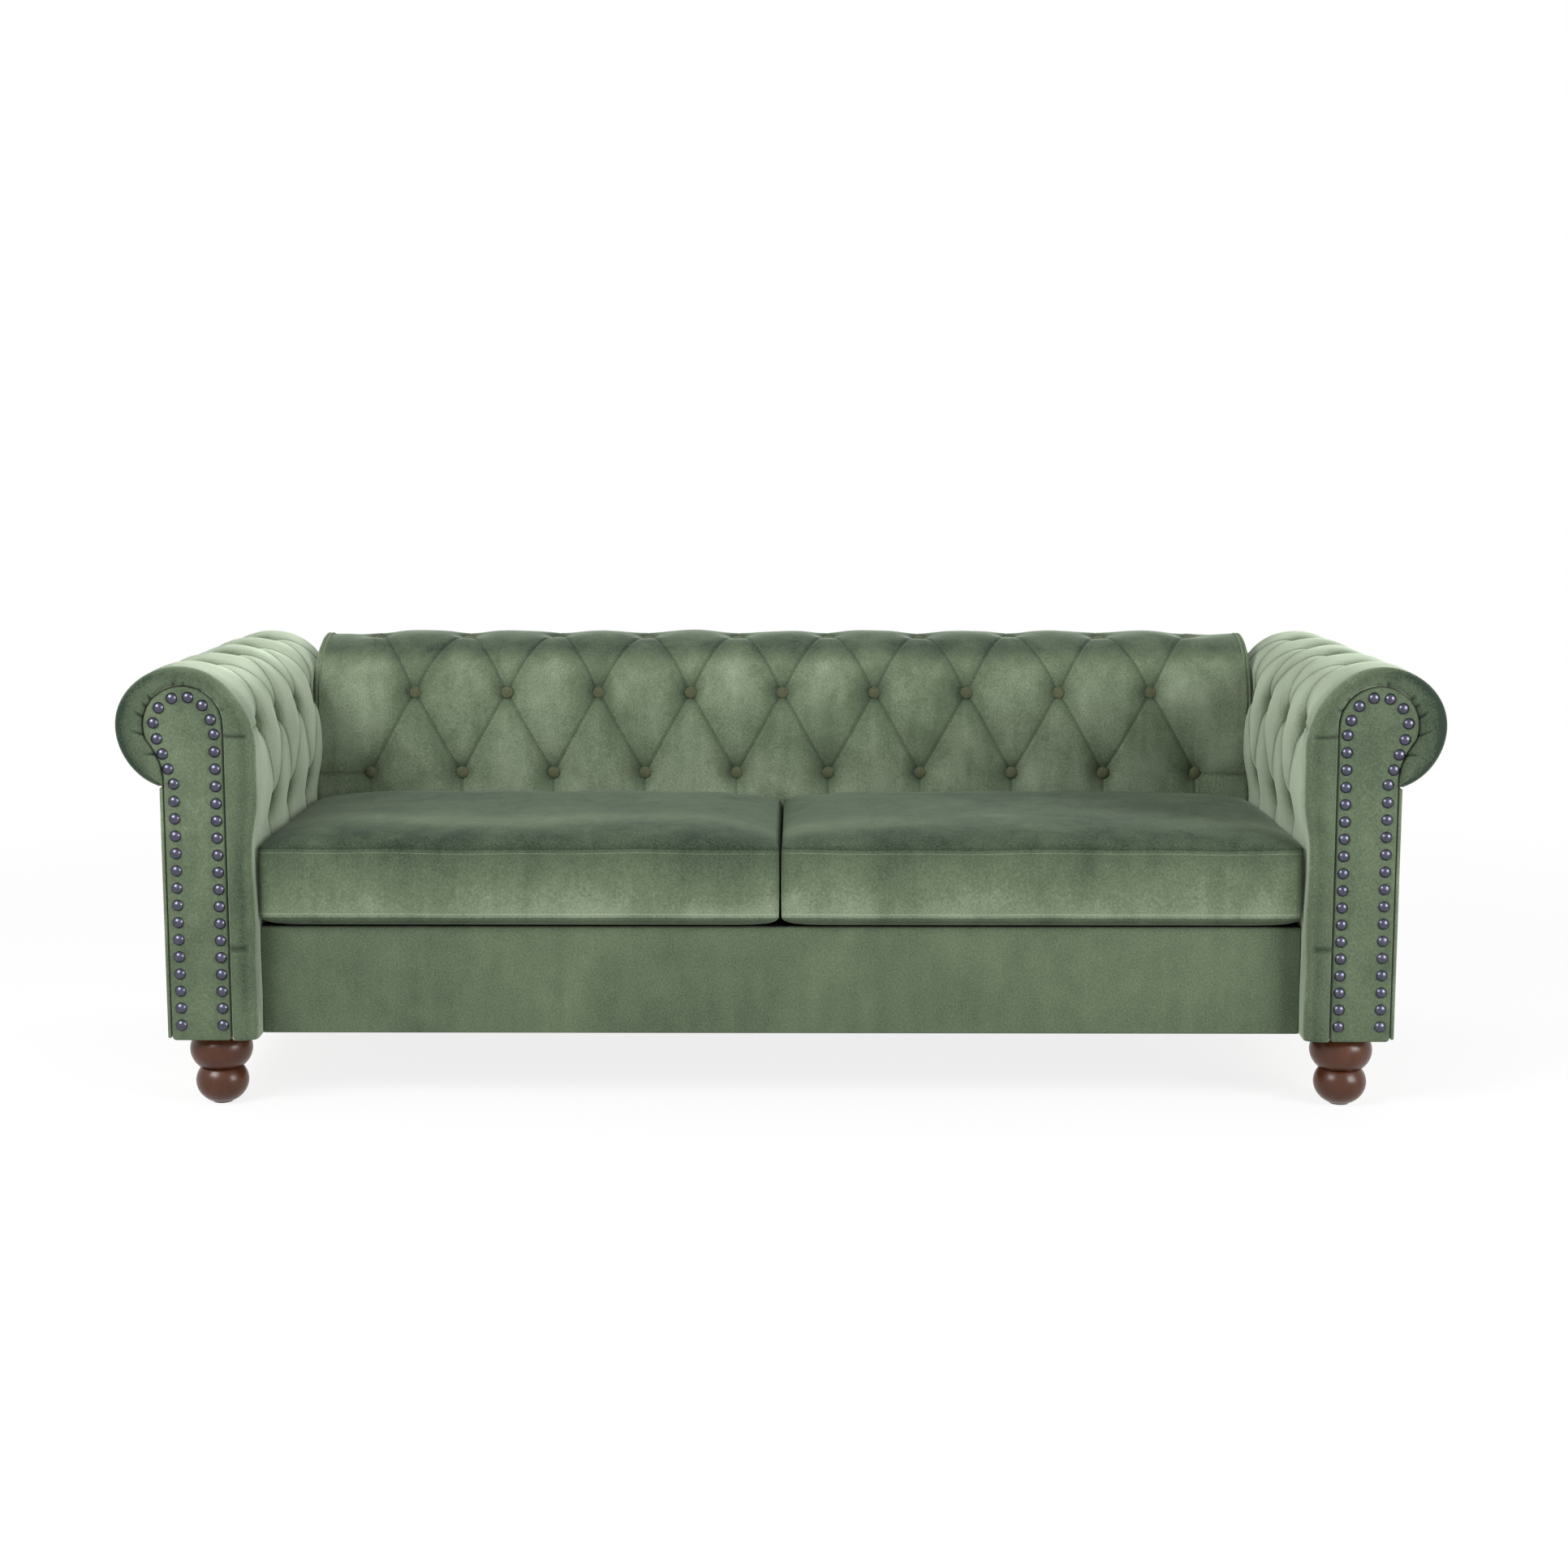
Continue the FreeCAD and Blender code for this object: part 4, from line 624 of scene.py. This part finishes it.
def back_columns():
    """Place across, share of the way out from the frame, and inset, of each column."""
    step = 0.5 * BACK_PITCH / CELLS
    count = int((BACK_HALF - 0.008) / step)
    end = [(BACK_HALF - 0.003, 0.0, 0.009), (BACK_HALF, 0.3, 0.009), (BACK_HALF, 1.0, 0.009),
           (BACK_HALF - 0.001, 1.0, 0.005), (BACK_HALF - 0.003, 1.0, 0.0024),
           (BACK_HALF - 0.006, 1.0, 0.0006)]
    middle = [(index * step, 1.0, 0.0) for index in range(-count, count + 1)]
    return [(-across, share, inset) for across, share, inset in end] + middle + end[::-1]


BACK_COLUMNS = back_columns()


def back_draw(across, length):
    """The draw of the back's velvet at a place across and a length along its section."""
    beyond = abs(across) - LAST_COLUMN
    if beyond <= 0:
        return tuft_draw(back_tufts, across, length, 0.5 * BACK_PITCH, 0.14)
    lower, crest = Vector((0.0, back_tufts.lower)), Vector((0.0, back_tufts.crest))
    draw, crease, valley = drawn_in(Vector((beyond, length)), (lower, crest), (
        (lower, lower + Vector((0.12, 0.0)), 0.75), (lower, lower - Vector((0.0, 0.14)), 0.9)))
    over = math.exp(-((length - back_tufts.crest) / 0.10) ** 2)
    return draw + 0.006 * ease(beyond / 0.05) * over, crease, valley


def back_point(column, row):
    """Place, painted crease shade, and painted light and shade of a point of the back's velvet,
    with painted shade in the valleys and over the roll.
    """
    across, share, inset = BACK_COLUMNS[column]
    spot, out = back_tufts.spots[row]
    length = back_tufts.rows[row]
    draw, crease, valley = back_draw(across, length) if share == 1.0 else (0.0, 0.0, 0.0)
    edge = spot - out * (inset + draw - wrinkle(across, length, 0.5))
    flat = back_tufts.core[row].lerp(edge, share)
    # Painted shade in a band over the roll and beyond it.
    painted_crest_shade = ease((length - back_tufts.crest + 0.13) / 0.06)
    return Vector((across, flat.x, flat.y)), 0.38 * crease, 0.15 - 0.5 * valley - 0.3 * painted_crest_shade


shape = closed_padding(len(BACK_COLUMNS) - 1, len(back_tufts.rows) - 1, back_point, BACK_PAINTED_LIGHT_WAY)
piece = finish_mesh("back_padding", shape, sage_velvet)
fit(piece, "green_velvet", "frame", "back_pad")


def tube(mesh, points, radius, sides=10):
    """A cord along a line of points, its ends closed."""
    rings = []
    for index, point in enumerate(points):
        run = points[min(index + 1, len(points) - 1)] - points[max(index - 1, 0)]
        turn = run.to_track_quat("Z", "X").to_matrix().to_4x4()
        made = bmesh.ops.create_circle(mesh, segments=sides, radius=radius,
                                       matrix=Matrix.Translation(point) @ turn)
        rings.append(made["verts"])
    for first, second in zip(rings, rings[1:]):
        for index in range(sides):
            mesh.faces.new((first[index - 1], first[index], second[index], second[index - 1]))
    for ring in (rings[0], rings[-1]):
        mesh.faces.new(ring)


PIPE_RADIUS = 0.0026
PIPE_PLACES = (BACK_HALF - 0.0055, BACK_HALF - 0.0115)
PIPE_SUNK = 0.001
pipe_steps = range(int(1000 * back_tufts.upper) - 40, int(1000 * back_tufts.path.total) - 60, 6)
for side, sign in SIDES:
    shape = bmesh.new()
    for across in PIPE_PLACES:
        line = []
        for length in [0.001 * step for step in pipe_steps]:
            spot, out = back_tufts.path.spot(length)
            spot = spot - out * (back_draw(across, length)[0] + PIPE_SUNK)
            line.append(Vector((sign * across, spot.x, spot.y)))
        tube(shape, line, PIPE_RADIUS)
    piece = finish_mesh("back_piping_%s" % side, shape, sage_velvet)
    fit(piece, "green_velvet", "frame")


# Covered buttons. Metal shells covered in the same velvet and tied down with twine, so each
# sits in its own dimple, with painted shade round its rim.
button_velvet = velvet("button velvet", contrast=0.6, sheen=0.15, colours=OLIVE)
BUTTON_RADIUS = 0.0125
BUTTON_RISE = 0.0075
BUTTON_PROUD = 0.0045


def button_group(name, node, spots):
    """Domed buttons at the places given, each facing its own way."""
    mesh = bmesh.new()
    pleat = mesh.verts.layers.float.new("pleat")
    for place, out in spots:
        made = bmesh.ops.create_uvsphere(mesh, u_segments=28, v_segments=16,
                                         radius=BUTTON_RADIUS)
        for vertex in made["verts"]:
            height = vertex.co.z / BUTTON_RADIUS
            vertex.co.z = BUTTON_RISE * math.copysign(abs(height) ** 0.8, height)
            # Painted shade round the rim.
            vertex[pleat] = 0.85 * (1.0 - ease((height - 0.15) / 0.45))
        turn = Vector((0, 0, 1)).rotation_difference(out).to_matrix().to_4x4()
        bmesh.ops.transform(mesh, matrix=Matrix.Translation(place) @ turn, verts=made["verts"])
    fit(finish_mesh(name, mesh, button_velvet), "green_velvet", "frame", node)


def button_rows(tufts, counts, draw):
    """Place along, point of the section and way out of every button of a tufted pad."""
    for length, places in zip((tufts.upper, tufts.lower, tufts.crest), counts):
        spot, out = tufts.path.spot(length)
        for along in places:
            yield along, spot - out * (draw(along, length)[0] - BUTTON_PROUD), out


uppers = [(index - 4) * BACK_PITCH for index in range(9)]
lowers = [(index - 4.5) * BACK_PITCH for index in range(10)]
button_group("back_covered_buttons", "back_buttons", [
    (Vector((across, spot.x, spot.y)), Vector((0, out.x, out.y)))
    for across, spot, out in button_rows(back_tufts, (uppers, lowers, lowers), back_draw)])
uppers = [ARM_FIRST + index * ARM_PITCH for index in range(4)]
lowers = [ARM_FIRST + (index + 0.5) * ARM_PITCH for index in range(4)]
for side, sign in SIDES:
    button_group("arm_%s_covered_buttons" % side, "arm_%s_buttons" % side, [
        (Vector((sign * spot.x, FACING_PLANE + depth, spot.y)), Vector((sign * out.x, 0, out.y)))
        for depth, spot, out in button_rows(arm_tufts, (uppers, lowers[:3], lowers), arm_draw)])


# Facings. Thin plywood keyholes covered in velvet over a little wadding, pressed into the
# front of the arms and held by the nail heads.
def keyhole(bottom, corner):
    """Outline of the facing: up the inner edge, round the head, and down the outer edge."""
    outline = [(CORE_INNER, bottom + corner)] + head_outline(CORE_INNER)
    outline += arc_points((CORE_OUTER - corner, bottom + corner), corner, 0, -90, 5)
    outline += arc_points((CORE_INNER + corner, bottom + corner), corner, -90, -180, 5)[:-1]
    return outline


def inset_outline(outline, inset):
    """The outline moved inwards by the same distance all round."""
    moved = []
    for index, point in enumerate(outline):
        before, after = Vector(outline[index - 1]), Vector(outline[(index + 1) % len(outline)])
        here = Vector(point)
        first, second = (here - before).normalized(), (after - here).normalized()
        lean = Vector((first.y + second.y, -first.x - second.x))
        moved.append(here + lean * (2 * inset / max(lean.length_squared, 1.0)))
    return moved


def keyhole_board(sign, shrink, front, rear, bottom, corner, rounding):
    """A covered keyhole board between two planes, the edge at its front plane rounded."""
    outline = keyhole(bottom, corner)
    way = 1 if rear > front else -1
    stages = [(shrink, rear), (shrink, front + way * rounding)]
    stages += [(shrink + rounding * (1 - math.cos(math.radians(angle))),
                front + way * rounding * (1 - math.sin(math.radians(angle))))
               for angle in (30, 60, 90)]
    mesh = bmesh.new()
    rings = [[mesh.verts.new((sign * across, deep, height))
              for across, height in inset_outline(outline, inset)] for inset, deep in stages]
    for low_ring, high_ring in zip(rings, rings[1:]):
        for index in range(len(outline)):
            mesh.faces.new((low_ring[index - 1], low_ring[index],
                            high_ring[index], high_ring[index - 1]))
    for ring in (rings[0], rings[-1]):
        bmesh.ops.triangulate(mesh, faces=[mesh.faces.new(ring)])
    return mesh


FACING_SHRINK = 0.0012
FACING_THICKNESS = 0.0098
FACING_FOOT = 0.1175
FACING_CORNER = 0.008
FACING_ROUND = 0.004
# The facings' velvet: a darker copy of the sage velvet, painted shade.
facing_velvet = velvet("facing velvet", lift=-0.11, contrast=0.75, sheen=0.35)
for side, sign in SIDES:
    shape = keyhole_board(sign, FACING_SHRINK, FACING_PLANE, FACING_PLANE + FACING_THICKNESS,
                          FACING_FOOT, FACING_CORNER, FACING_ROUND)
    piece = finish_mesh("arm_%s_facing_cover" % side, shape, facing_velvet)
    fit(piece, "green_velvet", "frame", "arm_%s_facing" % side)


# Nail heads. Domed upholstery nails in a gunmetal plate with a faint violet cast, driven
# in a line down both edges of each facing and round its head.
gunmetal = Finish("gunmetal plate", Metallic=1.0, Roughness=0.3)
tarnish = gunmetal.noise(140.0, 4.0)
gunmetal.drive(Base_Color=gunmetal.mix(tarnish, (0.05, 0.05, 0.075), (0.12, 0.12, 0.165)),
               Roughness=tarnish * 0.16 + 0.22)
dress(gunmetal, "arm_left_nailheads", "arm_right_nailheads")


# Outer covers. Velvet over thin board on the outside and rear of each arm and across the
# rear of the back, their edges turned in and blind-tacked under the rolls.
def rounded_board(low, high, rounding):
    """A covered board that fills the space between two corners, with soft edges."""
    mesh = bmesh.new()
    bmesh.ops.create_cube(mesh, size=1.0)
    middle, span = (low + high) / 2, high - low
    for vertex in mesh.verts:
        vertex.co = middle + Vector([vertex.co[axis] * span[axis] for axis in range(3)])
    bmesh.ops.bevel(mesh, geom=mesh.edges, offset=rounding, segments=3, affect="EDGES",
                    profile=0.5, material=-1)
    return mesh


def join_mesh(mesh, other):
    """Add the second shape to the first."""
    spare = bpy.data.meshes.new("spare")
    other.to_mesh(spare)
    other.free()
    mesh.from_mesh(spare)
    bpy.data.meshes.remove(spare)
    return mesh


COVER_FOOT = 0.122
COVER_ROUND = 0.0028
SIDE_PANEL_INNER = CORE_OUTER + 0.0003
SIDE_PANEL_OUTER = 1.0063
SIDE_PANEL_TOP = 0.5386
CLOSING_SHRINK = 0.0008
CLOSING_DEPTH = 0.006
CLOSING_CORNER = 0.004
CLOSING_ROUND = 0.002
for side, sign in SIDES:
    node = "arm_%s_outer_cover" % side
    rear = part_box(node)[1].y
    left, right = sorted((sign * SIDE_PANEL_INNER, sign * SIDE_PANEL_OUTER))
    panel = rounded_board(Vector((left, FACING_PLANE + 0.002, COVER_FOOT)),
                          Vector((right, rear, SIDE_PANEL_TOP)), COVER_ROUND)
    closing = keyhole_board(sign, CLOSING_SHRINK, rear, rear - CLOSING_DEPTH, COVER_FOOT,
                            CLOSING_CORNER, CLOSING_ROUND)
    piece = finish_mesh("arm_%s_outside_cover" % side, join_mesh(panel, closing), sage_velvet)
    fit(piece, "green_velvet", "frame", node)

# The back's cover narrows between the arms' mounting rails, with a seam where it does.
COVER_SEAM = 0.282
SEAM_GAP = 0.0003
NARROW_HALF = 0.8597
low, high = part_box("back_outer_cover")
shape = join_mesh(
    rounded_board(Vector((-BACK_HALF, low.y, COVER_SEAM + SEAM_GAP)), high, COVER_ROUND),
    rounded_board(low, Vector((NARROW_HALF, high.y, COVER_SEAM - SEAM_GAP)), COVER_ROUND))
fit(finish_mesh("back_outside_cover", shape, sage_velvet), "green_velvet", "frame",
    "back_outer_cover")


# Rear closings. Velvet tacked over the timber left bare behind: a round cap on each end of
# the back's roll, and a narrow strip down each arm's mounting rail.
CLOSING_THICKNESS = 0.0012
CAP_LOWEST = 0.5
CAP_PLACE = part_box("back_liner")[1].x - 0.0002
for side, sign in SIDES:
    shape = bmesh.new()
    rim = [shape.verts.new((sign * CAP_PLACE, point.x, point.y))
           for point in back_tufts.core if point.y > CAP_LOWEST]
    cap = bmesh.ops.extrude_face_region(shape, geom=[shape.faces.new(rim)])
    moved = [item for item in cap["geom"] if isinstance(item, bmesh.types.BMVert)]
    bmesh.ops.translate(shape, vec=(sign * CLOSING_THICKNESS, 0, 0), verts=moved)
    fit(finish_mesh("back_end_cap_%s" % side, shape, sage_velvet, False), "green_velvet", "frame")
    low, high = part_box("arm_%s_mounting_rail" % side)
    shape = rounded_board(Vector((low.x, high.y, low.z)),
                          Vector((high.x, high.y + CLOSING_THICKNESS, high.z)), 0.0004)
    fit(finish_mesh("arm_%s_closing_strip" % side, shape, sage_velvet), "green_velvet", "frame")


# Seat deck. Needled felt over the springs, a thin deck pad under black cloth, a velvet
# front over the front rail, and black cloth stapled under the frame.
felt = Finish("needled felt", Roughness=0.95)
felt_fibres = felt.noise(380.0, 6.0, 1.0)
felt.drive(Base_Color=felt.mix(felt_fibres, (0.25, 0.25, 0.26), (0.5, 0.5, 0.5)))
felt.bump(felt_fibres, 0.3, 0.0006)
dress(felt, "seat_deck_felt")

black_cloth = Finish("black cloth", Roughness=0.9, Specular_IOR_Level=0.2)
weave = black_cloth.noise(700.0, 2.0, 0.0, (1.0, 0.25, 1.0))
black_cloth.drive(Base_Color=black_cloth.mix(weave, (0.008, 0.008, 0.009), (0.03, 0.03, 0.031)))
black_cloth.bump(weave, 0.2, 0.0003)

low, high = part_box("seat_deck_pad")
piece = finish_mesh("seat_deck_cover", rounded_board(low, high, 0.003), black_cloth)
fit(piece, "black_cloth", "frame", "seat_deck_pad")

low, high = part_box("seat_dust_cover")
piece = finish_mesh("underside_cloth", rounded_board(low, high, 0.0004), black_cloth)
fit(piece, "black_cloth", "frame", "seat_dust_cover")

# The front panel's velvet: a darker copy of the sage velvet, painted shade.
front_velvet = velvet("front velvet", lift=-0.11, contrast=0.55, sheen=0.3)
low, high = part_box("seat_front_cover")
piece = finish_mesh("seat_front_panel", rounded_board(low, high, 0.003), front_velvet)
fit(piece, "green_velvet", "frame", "seat_front_cover")


# Seat cushions. Two loose cushions with a foam core: a crowned top and underside sewn to
# an upright boxing, topstitched beside both seams, with a zip across the rear.
CUSHION_HALF = 0.4276
CUSHION_FRONT = -0.3845
CUSHION_REAR = 0.158
CUSHION_MIDDLE = 0.429
HALF_DEEP = 0.5 * (CUSHION_REAR - CUSHION_FRONT)
LOWER_SEAM = 0.3183
UPPER_SEAM = 0.4333
BOXING = UPPER_SEAM - LOWER_SEAM
UNDERSIDE = 0.3005
CROWN = 0.030
SIDE_PULL = 0.0006
BOXING_SWELL = 0.0032
# A paler line painted along each topstitching.
STITCH_PALE_LINE = 0.4
PLAN_INSET = 0.001
PLAN_CORNER = 0.004
PLAN_COLUMNS = 360


def plan_point(share, half_wide, half_deep, corner):
    """A point round a rectangle with rounded corners, by its share of the way round."""
    wide, deep = half_wide - corner, half_deep - corner
    bend = 0.5 * math.pi * corner
    runs = ((2 * deep, (wide + corner, -deep), (0, 1)), (bend, (wide, deep), 0),
            (2 * wide, (wide, deep + corner), (-1, 0)), (bend, (-wide, deep), 90),
            (2 * deep, (-wide - corner, deep), (0, -1)), (bend, (-wide, -deep), 180),
            (2 * wide, (-wide, -deep - corner), (1, 0)), (bend, (wide, -deep), 270))
    left = share * 4 * (deep + wide + bend)
    for length, start, way in runs:
        if left <= length or way == 270:
            break
        left -= length
    if isinstance(way, tuple):
        return Vector(start) + Vector(way) * left
    turn = math.radians(way) + left / corner
    return Vector(start) + corner * Vector((math.cos(turn), math.sin(turn)))


def seam_point(share):
    """A point of the seam line, whose sides draw in a little, and the way out of it."""
    flat = plan_point(share, CUSHION_HALF - PLAN_INSET, HALF_DEEP - PLAN_INSET, PLAN_CORNER)
    if abs(flat.x) / CUSHION_HALF <= abs(flat.y) / HALF_DEEP:
        return flat, Vector((0.0, math.copysign(1.0, flat.y)))
    out = Vector((math.copysign(1.0, flat.x), 0.0))
    return flat - out * SIDE_PULL * (1 - (flat.y / HALF_DEEP) ** 4), out


def cushion_rings():
    """Each ring's part, place on it, painted seam shade and stitch, from the underside upward.

    The place is a share of the plan on the underside and top, and of the boxing's height.
    """
    rings = [("under", share, 0.0, 0.0) for share in (0.0, 0.3, 0.6, 0.8, 0.9, 0.95, 0.975)]
    rings += [("under", 0.992, 0.3, 0.0), ("side", 0.0, 1.0, 0.0), ("side", 0.012, 0.35, 0.0),
              ("side", 0.03, 0.0, 0.0), ("side", 0.055, 0.0, 0.0), ("side", 0.061, 0.0, 1.0)]
    rings += [("side", 0.067 + 0.866 * index / 12, 0.0, 0.0) for index in range(13)]
    rings += [("side", 0.939, 0.0, 1.0), ("side", 0.945, 0.0, 0.0), ("side", 0.97, 0.0, 0.0),
              ("side", 0.988, 0.35, 0.0), ("side", 1.0, 1.0, 0.0), ("top", 0.9965, 0.1, 0.0)]
    rings += [("top", share, 0.0, 0.0) for share in (
        0.986, 0.975, 0.96, 0.94, 0.91, 0.87, 0.82, 0.76, 0.69, 0.6, 0.5, 0.4, 0.3, 0.2, 0.1, 0.0)]
    return rings


CUSHION_RINGS = cushion_rings()


def fullness(flat, ends):
    """How full the foam lies at a point of the plan, from 0 at the seam to 1."""
    across = 1 - min(abs(flat.x) / CUSHION_HALF, 1) ** ends
    return (across * (1 - min(abs(flat.y) / HALF_DEEP, 1) ** 5)) ** 0.5


def wave(flat, phase):
    """The faint unevenness of a stuffed cover."""
    return (0.0008 * math.sin(13.0 * flat.x + phase)
            + 0.0006 * math.sin(31.0 * flat.x + 17.0 * flat.y))


def cushion(sign):
    """One cushion's cover, its top darkened by painted shade with a painted highlight in a pale
    band across it, and its boxing painted lighter towards its bottom.
    """
    middle = Vector((sign * CUSHION_MIDDLE, 0.5 * (CUSHION_REAR + CUSHION_FRONT)))

    def place(column, row):
        part, value, seam, stitch = CUSHION_RINGS[row]
        flat, out = seam_point(column / PLAN_COLUMNS)
        # A paler line painted along each topstitching, and painted light on the boxing towards its
        # bottom.
        nap = STITCH_PALE_LINE * stitch + 0.12 - 0.36 * value
        if part == "side":
            swell = BOXING_SWELL * math.sin(math.pi * value) ** 0.6 if 0 < value < 1 else 0.0
            swell *= 0.3 if out.x else float(flat.y < HALF_DEEP - 0.02)
            flat = flat + out * swell
            height = LOWER_SEAM + BOXING * value + wave(flat, sign) * (0.3 + 0.7 * value)
        elif part == "top":
            flat = flat * value
            height = UPPER_SEAM + 0.0008 + wave(flat, sign) + CROWN * fullness(flat, 5)
            # Painted shade over the top, and a painted highlight in a band some way behind the
            # front edge.
            behind = flat.y + HALF_DEEP - 0.14 - 0.03 * math.sin(9.0 * flat.x + sign)
            painted_highlight = math.exp(-(behind / 0.05) ** 2)
            nap = -0.32 + 0.24 * painted_highlight * (0.6 + 0.4 * math.sin(6.0 * flat.x - 2.0 * sign))
        else:
            flat = flat * value
            height = LOWER_SEAM - (LOWER_SEAM - UNDERSIDE) * min(1.4 * fullness(flat, 24), 1.0)
        return Vector((middle.x + flat.x, middle.y + flat.y, height)), 0.6 * seam, nap

    mesh, table = shaped_grid(PLAN_COLUMNS, len(CUSHION_RINGS) - 1, place)
    bmesh.ops.remove_doubles(mesh, verts=mesh.verts, dist=2e-5)
    return mesh


cushion_velvet = velvet("cushion velvet", contrast=0.75, sheen=0.14)
for side, sign in SIDES:
    name = "cushion_%s" % side
    piece = finish_mesh(name + "_velvet", cushion(sign), cushion_velvet)
    fit(piece, "green_velvet", name, name + "_cover")

foam = Finish("cushion foam", Roughness=0.95)
cells = foam.noise(900.0, 3.0)
foam.drive(Base_Color=foam.mix(cells, (0.6, 0.56, 0.42), (0.82, 0.79, 0.66)))
foam.bump(cells, 0.3, 0.0005)
dress(foam, "cushion_left_core", "cushion_right_core")


# Zips. Nylon coil on a green tape, with a lacquered slider and its pull.
zip_tape = Finish("zip tape", Roughness=0.7)
teeth = zip_tape.noise(600.0, 2.0, 0.0, (1.0, 0.1, 0.1))
zip_tape.drive(Base_Color=zip_tape.mix(teeth, (0.02, 0.028, 0.018), (0.06, 0.08, 0.05)))
zip_tape.bump(teeth, 0.5, 0.0006)
slider_lacquer = Finish("slider lacquer", Metallic=0.6, Roughness=0.35)
scuffs = slider_lacquer.noise(400.0, 4.0)
slider_lacquer.drive(Base_Color=slider_lacquer.mix(scuffs, (0.03, 0.04, 0.03), (0.09, 0.1, 0.085)))
dress(zip_tape, "cushion_left_zip", "cushion_right_zip")
dress(slider_lacquer, "cushion_left_zip_slider", "cushion_right_zip_slider")


# Studio. A soft lamp in front of each arm, a long one above the back, and pale light all
# round. Floor and surround are seen white, and the floor keeps a faint shadow.
def lamp(name, place, target, size, power):
    light = bpy.data.lights.new(name, "AREA")
    light.shape = "RECTANGLE"
    light.size, light.size_y = size
    light.energy = power
    item = bpy.data.objects.new(name, light)
    item.location = place
    item.rotation_euler = (Vector(target) - Vector(place)).to_track_quat("-Z", "Y").to_euler()
    bpy.context.scene.collection.objects.link(item)


lamp("key", (-2.4, -2.6, 2.6), (0.0, 0.0, 0.3), (1.8, 1.4), 140.0)
lamp("fill", (3.0, -2.4, 1.5), (0.0, 0.0, 0.4), (1.6, 1.6), 108.0)
lamp("overhead", (0.0, 0.9, 2.8), (0.0, 0.1, 0.4), (3.4, 0.8), 34.0)

SEEN_RAYS = ("Is Camera Ray", "Is Glossy Ray", "Is Transmission Ray")
SHADOW_SHARE = 0.16
SHADOW_FULL = 1.3
SHADOW_ENDS = 3.2
floor_mesh = bmesh.new()
bmesh.ops.create_grid(floor_mesh, x_segments=1, y_segments=1, size=9.0)
white_floor = Finish("white floor", Base_Color=(0.9, 0.9, 0.9, 1.0), Roughness=0.9)
camera_ray, glossy_ray, transmission_ray = [
    white_floor.add("LightPath", out=ray) for ray in SEEN_RAYS]
from_middle = white_floor.add("VectorMath", {"operation": "LENGTH"}, {0: white_floor.place()},
                              out=1)
shadowed = white_floor.within(from_middle, SHADOW_ENDS, SHADOW_FULL)
whiteness = (camera_ray + glossy_ray + transmission_ray) * (1 - shadowed * SHADOW_SHARE)
white = white_floor.add("Emission", {}, {"Color": (1.0, 1.0, 1.0), "Strength": 1.0})
lit = Wire(white_floor, white_floor.shader.outputs[0])
shown = white_floor.add("MixShader", {}, {0: whiteness, 1: lit, 2: white})
white_floor.feed(white_floor.tree.nodes["Material Output"].inputs["Surface"], shown)
finish_mesh("floor", floor_mesh, white_floor)

world = bpy.data.worlds.new("studio")
bpy.context.scene.world = world
world.use_nodes = True
surround = world.node_tree
ambient = surround.nodes["Background"]
ambient.inputs["Color"].default_value = (0.36, 0.36, 0.36, 1.0)
backdrop = surround.nodes.new("ShaderNodeBackground")
backdrop.inputs["Color"].default_value = (1.0, 1.0, 1.0, 1.0)
rays = surround.nodes.new("ShaderNodeLightPath")
either = surround.nodes.new("ShaderNodeMixShader")
seen = rays.outputs[SEEN_RAYS[0]]
for ray in SEEN_RAYS[1:]:
    total = surround.nodes.new("ShaderNodeMath")
    surround.links.new(seen, total.inputs[0])
    surround.links.new(rays.outputs[ray], total.inputs[1])
    seen = total.outputs[0]
surround.links.new(seen, either.inputs[0])
surround.links.new(ambient.outputs[0], either.inputs[1])
surround.links.new(backdrop.outputs[0], either.inputs[2])
surround.links.new(either.outputs[0], surround.nodes["World Output"].inputs["Surface"])
